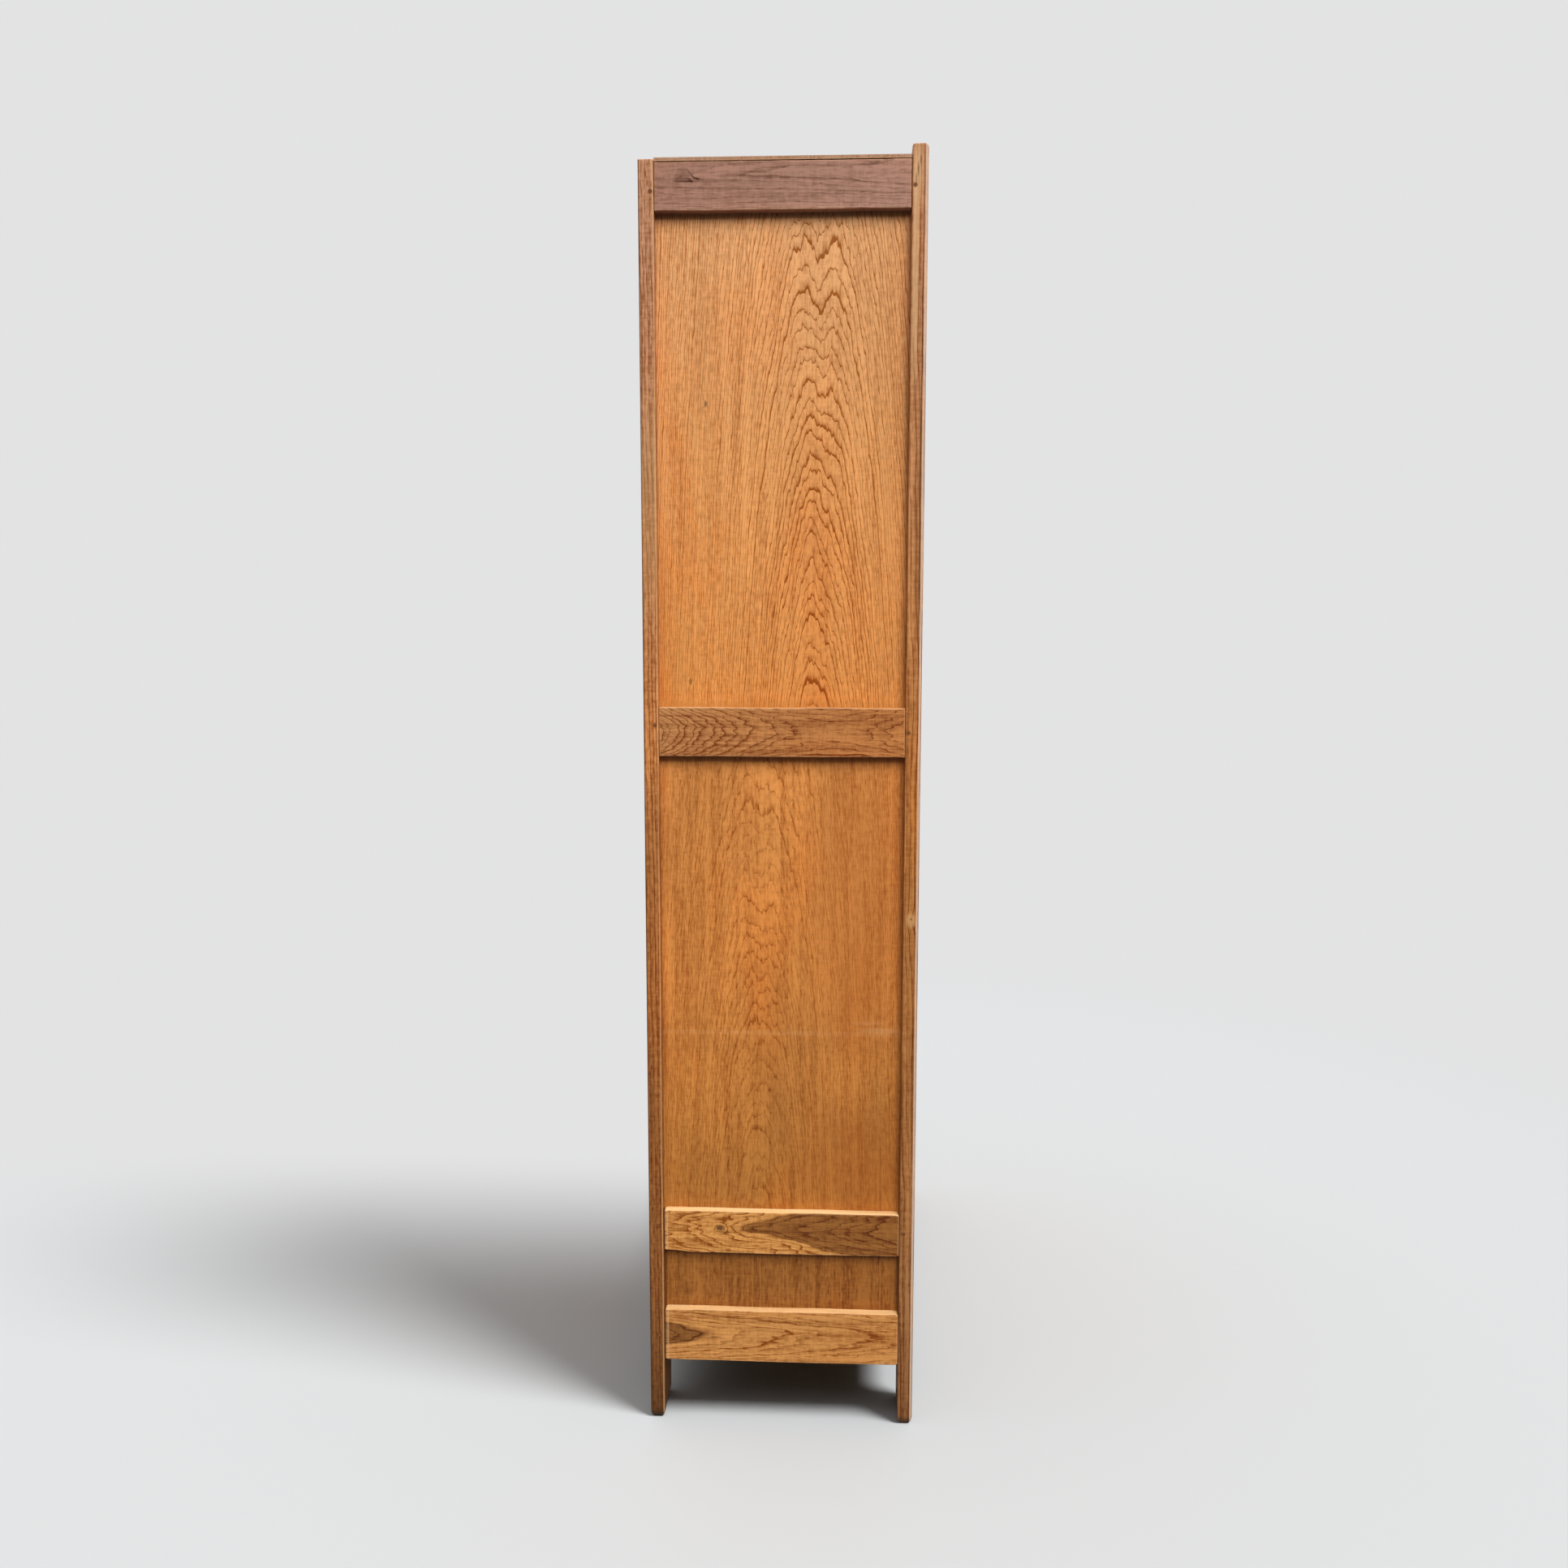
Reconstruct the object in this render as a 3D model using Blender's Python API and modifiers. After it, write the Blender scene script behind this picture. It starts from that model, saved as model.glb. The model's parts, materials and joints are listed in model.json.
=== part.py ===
"""Oak wardrobe: framed ends with sunk panels, two pivot-hung doors and a drawer below.

Units are metres, +Z is up, the doors face -Y, and the origin is on the floor under the middle.
"""
import math

import bmesh
import bpy
from mathutils import Vector

# Overall sizes
WIDTH = 0.900
DEPTH = 0.4114
TOP_HEIGHT = 1.902
CREST_RISE = 0.014
FIT = 0.0003

# Posts
STILE_WIDTH = 0.080
FRONT_THICK = 0.0232
BACK_THICK = 0.0225
BACK_STILE_DROP = 0.002
STILE_ROUND = 0.005
BEAD_WIDTH = 0.0055
QUIRK_WIDTH = 0.0014
QUIRK_DEPTH = 0.0012
FOOT_ROUND = 0.0042
EASE = 0.0016

# End frames, from the floor up
LEG_HEIGHT = 0.096
BOTTOM_RAIL = 0.085
FOOT_OPENING = 0.093
DRAWER_RAIL = 0.069
LOWER_OPENING = 0.707
MIDDLE_RAIL = 0.074
TOP_RAIL = 0.068
RAIL_THICK = 0.022
RAIL_SETBACK = 0.0015
PANEL_RECESS = 0.014
PANEL_THICK = 0.005
PANEL_TONGUE = 0.007
WANE_LENGTH = 0.062
WANE_DEPTH = 0.005

# Tenons
TENON_THICK = 0.007
TENON_SHOULDER = 0.008
SIDE_TENON = 0.012
FRAME_TENON = 0.025

# Front frame
CREST_RAIL = 0.100
SILL_HEIGHT = 0.030
APRON_HEIGHT = 0.040

# Top, floor, back
SHEET_THICK = 0.005
SHEET_TONGUE = 0.005
SHEET_STOP = 0.006
FLOOR_THICK = 0.012
FLOOR_DROP = 0.012
FLOOR_TONGUE = 0.005
BACK_PANEL_INSET = 0.008
BACK_PANEL_THICK = 0.004

# Inside
HAT_SPACE = 0.280
SHELF_THICK = 0.012
SHELF_SETBACK = 0.035
CLEAT_WIDTH = 0.020
CLEAT_HEIGHT = 0.030
STOP_LENGTH = 0.240
STOP_WIDTH = 0.014
STOP_HEIGHT = 0.012
STOP_CLEAR = 0.0005
RAIL_ROD_RADIUS = 0.006
RAIL_ROD_DROP = 0.062
RAIL_ROD_BEND = 0.022
RAIL_ROD_END = 0.045
RAIL_FLANGE_RADIUS = 0.016
RAIL_FLANGE_THICK = 0.003

# Drawer
DRAWER_GAP = 0.0015
DRAWER_FRONT_THICK = 0.020
DRAWER_SIDE_THICK = 0.012
DRAWER_SIDE_DROP = 0.018
DRAWER_LAP = 0.010
DRAWER_STOP_GAP = 0.0005
DRAWER_BACK_INSET = 0.015
DRAWER_BACK_DROP = 0.006
DRAWER_BACK_TONGUE = 0.005
DRAWER_BOTTOM_RISE = 0.012
DRAWER_BOTTOM_THICK = 0.004
DRAWER_BOTTOM_TONGUE = 0.006
SCOOP_WIDTH = 0.110
SCOOP_DEPTH = 0.022
RUNNER_LEDGE = 0.018
RUNNER_THICK = 0.018
GUIDE_HEIGHT = 0.020

# Doors
DOOR_THICK = 0.020
DOOR_STILE = 0.062
DOOR_TOP_RAIL = 0.066
DOOR_BOTTOM_RAIL = 0.085
DOOR_TENON = 0.024
DOOR_PANEL_RECESS = 0.009
DOOR_GAP = 0.0015
DOOR_END_GAP = 0.002
SWING_CLEAR = 0.0005
PIVOT_INSET = 0.020
PIVOT_SETBACK = 0.008
PIVOT_RADIUS = 0.004
PIVOT_SEAT = 0.028
PIVOT_REACH = 0.014
PIVOT_COLLAR_RADIUS = 0.0075

# Turn knob on the right door
TURN_HEIGHT = 1.000
KNOB_PROJECTION = 0.022
KNOB_RADIUS = 0.013
KNOB_GRIP = 0.010
KNOB_ROSE_RADIUS = 0.0125
KNOB_ROSE_THICK = 0.0025
KNOB_NECK_RADIUS = 0.006
SPINDLE_RADIUS = 0.004
TONGUE_WIDTH = 0.014
TONGUE_THICK = 0.004
TONGUE_HOLD = 0.012
TONGUE_CLEAR = 0.0006

# Turn button on the left door
BUTTON_DROP = 0.028
BUTTON_WIDTH = 0.016
BUTTON_THICK = 0.006
BUTTON_HOLD = 0.012
BUTTON_CLEAR = 0.0006
BUTTON_BOSS_RADIUS = 0.0065
BUTTON_SCREW_RADIUS = 0.0025
BUTTON_SCREW_SEAT = 0.011

# Facets
TURNED_STEPS = 16
ARC_STEPS = 6
ROUND_SEGMENTS = 3
MERGE = 0.00001

SIDES = (("left", -1), ("right", 1))

# Planes that the pieces share
half = WIDTH / 2
opening_half = half - STILE_WIDTH
front_y = (KNOB_PROJECTION - DEPTH) / 2
back_y = front_y + DEPTH
inner_front_y = front_y + FRONT_THICK
inner_back_y = back_y - BACK_THICK
rail_outer = half - RAIL_SETBACK
rail_inner = rail_outer - RAIL_THICK
panel_outer = rail_outer - PANEL_RECESS
panel_inner = panel_outer - PANEL_THICK

crest_z = TOP_HEIGHT + CREST_RISE
sheet_low = TOP_HEIGHT - SHEET_THICK
rail_levels = {
    "bottom": (LEG_HEIGHT, LEG_HEIGHT + BOTTOM_RAIL),
}
drawer_rail_low = LEG_HEIGHT + BOTTOM_RAIL + FOOT_OPENING
rail_levels["drawer"] = (drawer_rail_low, drawer_rail_low + DRAWER_RAIL)
middle_low = drawer_rail_low + DRAWER_RAIL + LOWER_OPENING
rail_levels["middle"] = (middle_low, middle_low + MIDDLE_RAIL)
rail_levels["top"] = (sheet_low - FIT - TOP_RAIL, sheet_low - FIT)

floor_top = rail_levels["drawer"][1] - FLOOR_DROP
sill_top = floor_top
sill_low = sill_top - SILL_HEIGHT
apron_top = LEG_HEIGHT + APRON_HEIGHT
crest_low = crest_z - CREST_RAIL
shelf_top = TOP_HEIGHT - HAT_SPACE
shelf_low = shelf_top - SHELF_THICK

door_low = sill_top + DOOR_END_GAP
door_high = crest_low - DOOR_END_GAP
door_back_y = front_y + DOOR_THICK
hinge_gap = math.hypot(PIVOT_INSET, PIVOT_SETBACK) - PIVOT_INSET + SWING_CLEAR
door_outer = opening_half - hinge_gap
door_inner = DOOR_GAP / 2
pivot_x = door_outer - PIVOT_INSET
pivot_y = front_y + PIVOT_SETBACK
meeting_x = door_inner + DOOR_STILE / 2

drawer_half = opening_half - DRAWER_GAP
drawer_side_inner = drawer_half - DRAWER_SIDE_THICK
drawer_side_low = apron_top + FIT
drawer_side_high = sill_low - DRAWER_SIDE_DROP
drawer_front_high = sill_low - DRAWER_GAP
drawer_end_y = inner_back_y - DRAWER_STOP_GAP
drawer_bottom_low = drawer_side_low + DRAWER_BOTTOM_RISE
drawer_bottom_high = drawer_bottom_low + DRAWER_BOTTOM_THICK

for stale in list(bpy.data.objects):
    bpy.data.objects.remove(stale, do_unlink=True)

parts = bpy.data.collections.new("wardrobe")
cutters = bpy.data.collections.new("wardrobe_cutters")
bpy.context.scene.collection.children.link(parts)
bpy.context.scene.collection.children.link(cutters)


def make_finish(name, color, roughness, metallic=0.0):
    finish = bpy.data.materials.new(name)
    finish.use_nodes = True
    shader = finish.node_tree.nodes["Principled BSDF"]
    shader.inputs["Base Color"].default_value = (*color, 1.0)
    shader.inputs["Roughness"].default_value = roughness
    shader.inputs["Metallic"].default_value = metallic
    return finish


oak = make_finish("oak", (0.33, 0.15, 0.055), 0.45)
oak_veneer = make_finish("oak_veneer", (0.46, 0.22, 0.075), 0.42)
pine = make_finish("pine", (0.56, 0.36, 0.18), 0.6)
brass = make_finish("brass", (0.55, 0.38, 0.13), 0.35, 1.0)
steel = make_finish("steel", (0.42, 0.42, 0.43), 0.35, 1.0)


def make_body(name, place):
    # An empty on a joint's axis that carries the pieces of one moving body.
    body = bpy.data.objects.new(name, None)
    body.location = place
    parts.objects.link(body)
    return body


carcass = make_body("carcass", (0, 0, 0))
drawer = make_body("drawer", (0, front_y, apron_top))
doors = {side: make_body(f"door_{side}", (s * pivot_x, pivot_y, door_low)) for side, s in SIDES}


def corners(x, y, z):
    # Lowest and highest corner of a box given as three pairs, each in either order.
    spans = [sorted(pair) for pair in (x, y, z)]
    return Vector([a for a, _ in spans]), Vector([b for _, b in spans])


def grown(box, by=FIT):
    margin = Vector((by, by, by))
    return box[0] - margin, box[1] + margin


def stand(obj, body, place):
    obj.parent = body
    obj.location = Vector(place) - body.location


def add_part(name, mesh, finish, body, place):
    obj = bpy.data.objects.new(name, mesh)
    mesh.materials.append(finish)
    parts.objects.link(obj)
    stand(obj, body, place)
    return obj


def add_cutter(name, mesh, body, place):
    obj = bpy.data.objects.new(name, mesh)
    obj.hide_render = True
    obj.display_type = "WIRE"
    cutters.objects.link(obj)
    stand(obj, body, place)
    return obj


def box_mesh(name, size, radii=None):
    # radii maps an edge, named by the signs of its middle, to its own rounding.
    mesh = bpy.data.meshes.new(name)
    bm = bmesh.new()
    bmesh.ops.create_cube(bm, size=1.0)
    bmesh.ops.scale(bm, vec=size, verts=bm.verts)
    if radii:
        weight = bm.edges.layers.float.new("bevel_weight_edge")
        widest = max(radii.values())
        for edge in bm.edges:
            middle = (edge.verts[0].co + edge.verts[1].co) / 2
            signs = tuple(round(2 * m / length) for m, length in zip(middle, size))
            edge[weight] = radii.get(signs, EASE) / widest
    bm.to_mesh(mesh)
    bm.free()
    return mesh


def board(name, box, finish, body=carcass, segments=1, radii=None):
    # A sawn board with eased edges, or with some edges rounded further.
    low, high = box
    obj = add_part(name, box_mesh(name, high - low, radii), finish, body, (low + high) / 2)
    bevel = obj.modifiers.new("eased edges", "BEVEL")
    bevel.segments = segments
    bevel.width = max(radii.values()) if radii else EASE
    bevel.limit_method = "WEIGHT" if radii else "NONE"
    return obj


def thin_board(name, box, finish, body=carcass):
    # A sheet with square edges, for what is housed in grooves.
    low, high = box
    return add_part(name, box_mesh(name, high - low), finish, body, (low + high) / 2)


def box_cutter(name, box, body=carcass):
    low, high = box
    return add_cutter(name, box_mesh(name, high - low), body, (low + high) / 2)


def round_cutter(name, radius, length, place, body, along_y=False):
    mesh = bpy.data.meshes.new(name)
    bm = bmesh.new()
    bmesh.ops.create_cone(bm, cap_ends=True, segments=TURNED_STEPS, radius1=radius, radius2=radius,
                          depth=length)
    bm.to_mesh(mesh)
    bm.free()
    obj = add_cutter(name, mesh, body, place)
    if along_y:
        obj.rotation_euler = (math.pi / 2, 0, 0)
    return obj


def combine(obj, other, operation):
    step = obj.modifiers.new(f"{operation.lower()} {other.name}", "BOOLEAN")
    step.operation = operation
    step.object = other
    step.solver = "EXACT"


def cut(obj, cutter):
    combine(obj, cutter, "DIFFERENCE")


def fuse(obj, other):
    combine(obj, other, "UNION")


def rail(name, box, along, tenon, posts, finish, body=carcass, segments=1, radii=None):
    # A board along X (0) or Y (1) with a stub tenon at both ends, and the mortises for it in its posts.
    obj = board(name, box, finish, body, segments, radii)
    low, high = box[0].copy(), box[1].copy()
    thin = 1 - along
    middle = (low[thin] + high[thin]) / 2
    low[along] -= tenon
    high[along] += tenon
    low[thin] = middle - TENON_THICK / 2
    high[thin] = middle + TENON_THICK / 2
    low.z += TENON_SHOULDER
    high.z -= TENON_SHOULDER
    fuse(obj, box_cutter(f"{name}_tenons", (low, high), body))
    mortise = box_cutter(f"{name}_mortises", grown((low, high)), body)
    for post in posts:
        cut(post, mortise)
    return obj


def housed(obj, box, holders, body=carcass):
    # Grooves in every holder that take the edges of this sheet.
    groove = box_cutter(f"{obj.name}_groove", grown(box), body)
    for holder in holders:
        cut(holder, groove)


def sheet(name, box, holders, finish, body=carcass):
    obj = thin_board(name, box, finish, body)
    housed(obj, box, holders, body)
    return obj


def curve_to_mesh(name, curve):
    stand_in = bpy.data.objects.new(name, curve)
    bpy.context.scene.collection.objects.link(stand_in)
    graph = bpy.context.evaluated_depsgraph_get()
    mesh = bpy.data.meshes.new_from_object(stand_in.evaluated_get(graph))
    bpy.data.objects.remove(stand_in, do_unlink=True)
    bm = bmesh.new()
    bm.from_mesh(mesh)
    bmesh.ops.remove_doubles(bm, verts=bm.verts, dist=MERGE)
    bmesh.ops.recalc_face_normals(bm, faces=bm.faces)
    bm.to_mesh(mesh)
    bm.free()
    mesh.name = name
    return mesh


def poly_curve(name, points, dimensions, closed):
    curve = bpy.data.curves.new(name, "CURVE")
    curve.dimensions = dimensions
    spline = curve.splines.new("POLY")
    spline.points.add(len(points) - 1)
    for knot, point in zip(spline.points, points):
        knot.co = (*point, 1.0)
    spline.use_cyclic_u = closed
    return curve


def outline_mesh(name, outline, thickness):
    curve = poly_curve(name, [(x, y, 0) for x, y in outline], "2D", True)
    curve.fill_mode = "BOTH"
    curve.extrude = thickness / 2
    return curve_to_mesh(name, curve)


def arc(center, radius, start, end, steps=ARC_STEPS):
    turns = [start + (end - start) * i / steps for i in range(steps + 1)]
    return [(center[0] + radius * math.cos(t), center[1] + radius * math.sin(t)) for t in turns]


def turned(name, profile, finish, body, place, facing_front=False):
    # A solid of revolution; the profile runs down its outer side from the top.
    mesh = bpy.data.meshes.new(name)
    bm = bmesh.new()
    verts = [bm.verts.new((r, 0, z)) for r, z in profile]
    for upper, lower in zip(verts, verts[1:]):
        bm.edges.new((upper, lower))
    bm.to_mesh(mesh)
    bm.free()
    obj = add_part(name, mesh, finish, body, place)
    screw = obj.modifiers.new("turned", "SCREW")
    screw.axis = "Z"
    screw.angle = math.tau
    screw.steps = TURNED_STEPS
    screw.render_steps = TURNED_STEPS
    screw.use_merge_vertices = True
    screw.merge_threshold = MERGE
    if facing_front:
        obj.rotation_euler = (math.pi / 2, 0, 0)
    return obj


def make_posts():
    front, back = {}, {}
    worn_foot = {edge: FOOT_ROUND for edge in ((1, 0, -1), (-1, 0, -1), (0, 1, -1), (0, -1, -1))}
    for side, s in SIDES:
        reach = (s * opening_half, s * half)
        radii = {(s, -1, 0): STILE_ROUND, (0, -1, 1): STILE_ROUND, (0, 1, 1): STILE_ROUND, **worn_foot}
        front_box = corners(reach, (front_y, inner_front_y), (0, crest_z))
        front[side] = board(f"front_stile_{side}", front_box, oak, segments=ROUND_SEGMENTS, radii=radii)
        cut_quirk(front[side], side, s)
        back_box = corners(reach, (inner_back_y, back_y), (0, TOP_HEIGHT - BACK_STILE_DROP))
        back[side] = board(f"back_stile_{side}", back_box, oak, segments=ROUND_SEGMENTS, radii=worn_foot)
    return front, back


def cut_quirk(post, side, s):
    # A thin groove beside the rounded front corner leaves the corner standing as a bead.
    start = front_y + BEAD_WIDTH
    box = corners((s * (half - QUIRK_DEPTH), s * (half + QUIRK_DEPTH)), (start, start + QUIRK_WIDTH),
                  (-STILE_ROUND, crest_z + STILE_ROUND))
    cut(post, box_cutter(f"quirk_{side}", box))


def make_ends(front, back):
    run = (inner_front_y + FIT, inner_back_y - FIT)
    rails = {}
    for side, s in SIDES:
        posts = (front[side], back[side])
        for level, heights in rail_levels.items():
            box = corners((s * rail_inner, s * rail_outer), run, heights)
            name = f"side_{level}_rail_{side}"
            rails[level, side] = rail(name, box, 1, SIDE_TENON, posts, oak, segments=2)
        for name, below, above in (("foot", "bottom", "drawer"), ("lower", "drawer", "middle"),
                                   ("upper", "middle", "top")):
            heights = (rail_levels[below][1] - PANEL_TONGUE, rail_levels[above][0] + PANEL_TONGUE)
            box = corners((s * panel_inner, s * panel_outer),
                          (inner_front_y - PANEL_TONGUE, inner_back_y + PANEL_TONGUE), heights)
            holders = (*posts, rails[below, side], rails[above, side])
            sheet(f"side_{name}_panel_{side}", box, holders, oak_veneer)
    return rails


def cut_wane(obj):
    # The board's lower back corner follows the curve of the tree, so it is slightly cut away.
    low = rail_levels["drawer"][0]
    slope = math.atan2(WANE_DEPTH, WANE_LENGTH)
    size = Vector((2 * RAIL_THICK, 3 * WANE_LENGTH, WANE_LENGTH))
    start = Vector((-(rail_inner + rail_outer) / 2, inner_back_y - WANE_LENGTH, low))
    down = Vector((0, math.sin(slope), -math.cos(slope)))
    wedge = add_cutter("wane", box_mesh("wane", size), carcass, start + down * size.z / 2)
    wedge.rotation_euler = (slope, 0, 0)
    cut(obj, wedge)


def make_front_frame(front):
    span = (-opening_half + FIT, opening_half - FIT)
    run = (front_y, inner_front_y)
    posts = front.values()
    radii = {(0, -1, 1): STILE_ROUND, (0, 1, 1): STILE_ROUND}
    crest = rail("crest_rail", corners(span, run, (crest_low, crest_z)), 0, FRAME_TENON, posts, oak,
                 segments=ROUND_SEGMENTS, radii=radii)
    sill = rail("door_sill", corners(span, run, (sill_low, sill_top)), 0, FRAME_TENON, posts, oak)
    rail("apron", corners(span, run, (LEG_HEIGHT, apron_top)), 0, FRAME_TENON, posts, oak)
    return crest, sill


def make_back(back):
    span = (-opening_half + FIT, opening_half - FIT)
    run = (inner_back_y, back_y)
    posts = tuple(back.values())
    levels = {
        "back_bottom_board": (LEG_HEIGHT, rail_levels["drawer"][1]),
        "back_middle_rail": rail_levels["middle"],
        "back_top_rail": rail_levels["top"],
    }
    made = {name: rail(name, corners(span, run, heights), 0, FRAME_TENON, posts, oak)
            for name, heights in levels.items()}
    panel_run = (inner_back_y + BACK_PANEL_INSET, inner_back_y + BACK_PANEL_INSET + BACK_PANEL_THICK)
    panel_half = opening_half + PANEL_TONGUE
    for name, below, above in (("back_lower_panel", "back_bottom_board", "back_middle_rail"),
                               ("back_upper_panel", "back_middle_rail", "back_top_rail")):
        heights = (levels[below][1] - PANEL_TONGUE, levels[above][0] + PANEL_TONGUE)
        box = corners((-panel_half, panel_half), panel_run, heights)
        sheet(name, box, (*posts, made[below], made[above]), oak_veneer)
    return made["back_bottom_board"]


def make_top(crest):
    # A thin sheet on the rails, cut round the four posts; its tongue stops short of the crest rail's ends.
    lip_half = opening_half - FIT
    tongue_half = lip_half - SHEET_STOP
    tongue_y = inner_front_y - SHEET_TONGUE
    lip_y = back_y - RAIL_SETBACK
    right_half = [
        (tongue_half, tongue_y), (tongue_half, inner_front_y + FIT), (rail_outer, inner_front_y + FIT),
        (rail_outer, inner_back_y - FIT), (lip_half, inner_back_y - FIT), (lip_half, lip_y),
    ]
    outline = right_half + [(-x, y) for x, y in reversed(right_half)]
    mesh = outline_mesh("top_sheet", outline, SHEET_THICK)
    add_part("top_sheet", mesh, oak_veneer, carcass, (0, 0, TOP_HEIGHT - SHEET_THICK / 2))
    groove = corners((-tongue_half, tongue_half), (tongue_y, inner_front_y + SHEET_TONGUE),
                     (sheet_low, TOP_HEIGHT))
    cut(crest, box_cutter("top_sheet_groove", grown(groove)))


def make_floor(rails, back, bottom_board):
    reach = rail_inner + FLOOR_TONGUE
    box = corners((-reach, reach), (inner_front_y + FIT, inner_back_y + FLOOR_TONGUE),
                  (floor_top - FLOOR_THICK, floor_top))
    holders = [rails["drawer", side] for side, _ in SIDES] + list(back.values()) + [bottom_board]
    sheet("cabinet_floor", box, holders, oak_veneer)


def make_door_stop():
    # A block on the floor behind the meeting stiles, clear of the corners that swing in at the pivots.
    stop_y = door_back_y + STOP_CLEAR
    stop_low = floor_top + FIT
    box = corners((-STOP_LENGTH / 2, STOP_LENGTH / 2), (stop_y, stop_y + STOP_WIDTH),
                  (stop_low, stop_low + STOP_HEIGHT))
    board("door_stop", box, pine)


def make_shelf():
    reach = panel_inner - FIT
    shelf_front_y = inner_front_y + SHELF_SETBACK
    shelf_back_y = inner_back_y - FIT
    shelf_box = corners((-reach, reach), (shelf_front_y, shelf_back_y), (shelf_low, shelf_top))
    board("hat_shelf", shelf_box, oak_veneer)
    for side, s in SIDES:
        heights = (shelf_low - FIT - CLEAT_HEIGHT, shelf_low - FIT)
        box = corners((s * (reach - CLEAT_WIDTH), s * reach),
                      (inner_front_y + FIT, inner_back_y - FIT), heights)
        board(f"shelf_cleat_{side}", box, pine)
    make_hanging_rail(shelf_front_y + RAIL_ROD_END, shelf_back_y - RAIL_ROD_END)


def make_hanging_rail(front_leg_y, back_leg_y):
    # A bent rod that runs front to back under the shelf, as the wardrobe is too shallow for one across.
    high = shelf_low - FIT
    low = high - RAIL_ROD_DROP
    front_bend = arc((front_leg_y + RAIL_ROD_BEND, low + RAIL_ROD_BEND), RAIL_ROD_BEND,
                     math.pi, 1.5 * math.pi)
    back_bend = arc((back_leg_y - RAIL_ROD_BEND, low + RAIL_ROD_BEND), RAIL_ROD_BEND, -0.5 * math.pi, 0)
    rod_top = high - RAIL_FLANGE_THICK / 2
    route = [(front_leg_y, rod_top)] + front_bend + back_bend + [(back_leg_y, rod_top)]
    curve = poly_curve("hanging_rail", [(0, y, z) for y, z in route], "3D", False)
    curve.bevel_depth = RAIL_ROD_RADIUS
    curve.bevel_resolution = 2
    curve.use_fill_caps = True
    rod = add_part("hanging_rail", curve_to_mesh("hanging_rail", curve), steel, carcass, (0, 0, 0))
    for end, y in (("front", front_leg_y), ("back", back_leg_y)):
        place = (0, y, high - RAIL_FLANGE_THICK / 2)
        fuse(rod, round_cutter(f"rail_flange_{end}", RAIL_FLANGE_RADIUS, RAIL_FLANGE_THICK, place, carcass))


def make_runners():
    # L-shaped: the ledge carries the drawer's side and the wall beside it keeps the drawer straight.
    length = inner_back_y - inner_front_y - 2 * FIT
    for side, s in SIDES:
        outer = rail_inner - FIT
        outline = [
            (s * outer, apron_top - RUNNER_THICK), (s * outer, apron_top + GUIDE_HEIGHT),
            (s * opening_half, apron_top + GUIDE_HEIGHT), (s * opening_half, apron_top),
            (s * (opening_half - RUNNER_LEDGE), apron_top),
            (s * (opening_half - RUNNER_LEDGE), apron_top - RUNNER_THICK),
        ]
        name = f"drawer_runner_{side}"
        runner = add_part(name, outline_mesh(name, outline, length), pine, carcass,
                          (0, (inner_front_y + inner_back_y) / 2, 0))
        runner.rotation_euler = (math.pi / 2, 0, 0)


def make_drawer():
    front_back_y = front_y + DRAWER_FRONT_THICK
    front_box = corners((-drawer_half, drawer_half), (front_y, front_back_y),
                        (apron_top + DRAWER_GAP, drawer_front_high))
    front = board("drawer_front", front_box, oak, drawer, segments=2)

    sides = []
    for side, s in SIDES:
        box = corners((s * drawer_side_inner, s * drawer_half), (front_back_y - DRAWER_LAP, drawer_end_y),
                      (drawer_side_low, drawer_side_high))
        sides.append(thin_board(f"drawer_side_{side}", box, pine, drawer))
        housed(sides[-1], box, [front], drawer)

    bottom_half = drawer_side_inner + DRAWER_BOTTOM_TONGUE
    bottom_box = corners((-bottom_half, bottom_half), (front_back_y - DRAWER_BOTTOM_TONGUE, drawer_end_y),
                         (drawer_bottom_low, drawer_bottom_high))
    sheet("drawer_bottom", bottom_box, [front] + sides, pine, drawer)

    back_half = drawer_side_inner + DRAWER_BACK_TONGUE
    back_end_y = drawer_end_y - DRAWER_BACK_INSET
    back_box = corners((-back_half, back_half), (back_end_y - DRAWER_SIDE_THICK, back_end_y),
                       (drawer_bottom_high + FIT, drawer_side_high - DRAWER_BACK_DROP))
    sheet("drawer_back", back_box, sides, pine, drawer)
    cut_scoop(front)


def cut_scoop(front):
    # A shallow arc in the drawer's upper edge, for the fingers.
    chord_half = SCOOP_WIDTH / 2
    radius = (chord_half ** 2 + SCOOP_DEPTH ** 2) / (2 * SCOOP_DEPTH)
    sweep = math.asin(chord_half / radius)
    center = (0, drawer_front_high + radius - SCOOP_DEPTH)
    low_arc = arc(center, radius, -math.pi / 2 - sweep, -math.pi / 2 + sweep, 2 * ARC_STEPS)
    outline = low_arc + [(chord_half, center[1]), (-chord_half, center[1])]
    mesh = outline_mesh("finger_scoop", outline, 3 * DRAWER_FRONT_THICK)
    scoop = add_cutter("finger_scoop", mesh, drawer, (0, front_y + DRAWER_FRONT_THICK / 2, 0))
    scoop.rotation_euler = (math.pi / 2, 0, 0)
    cut(front, scoop)


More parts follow.
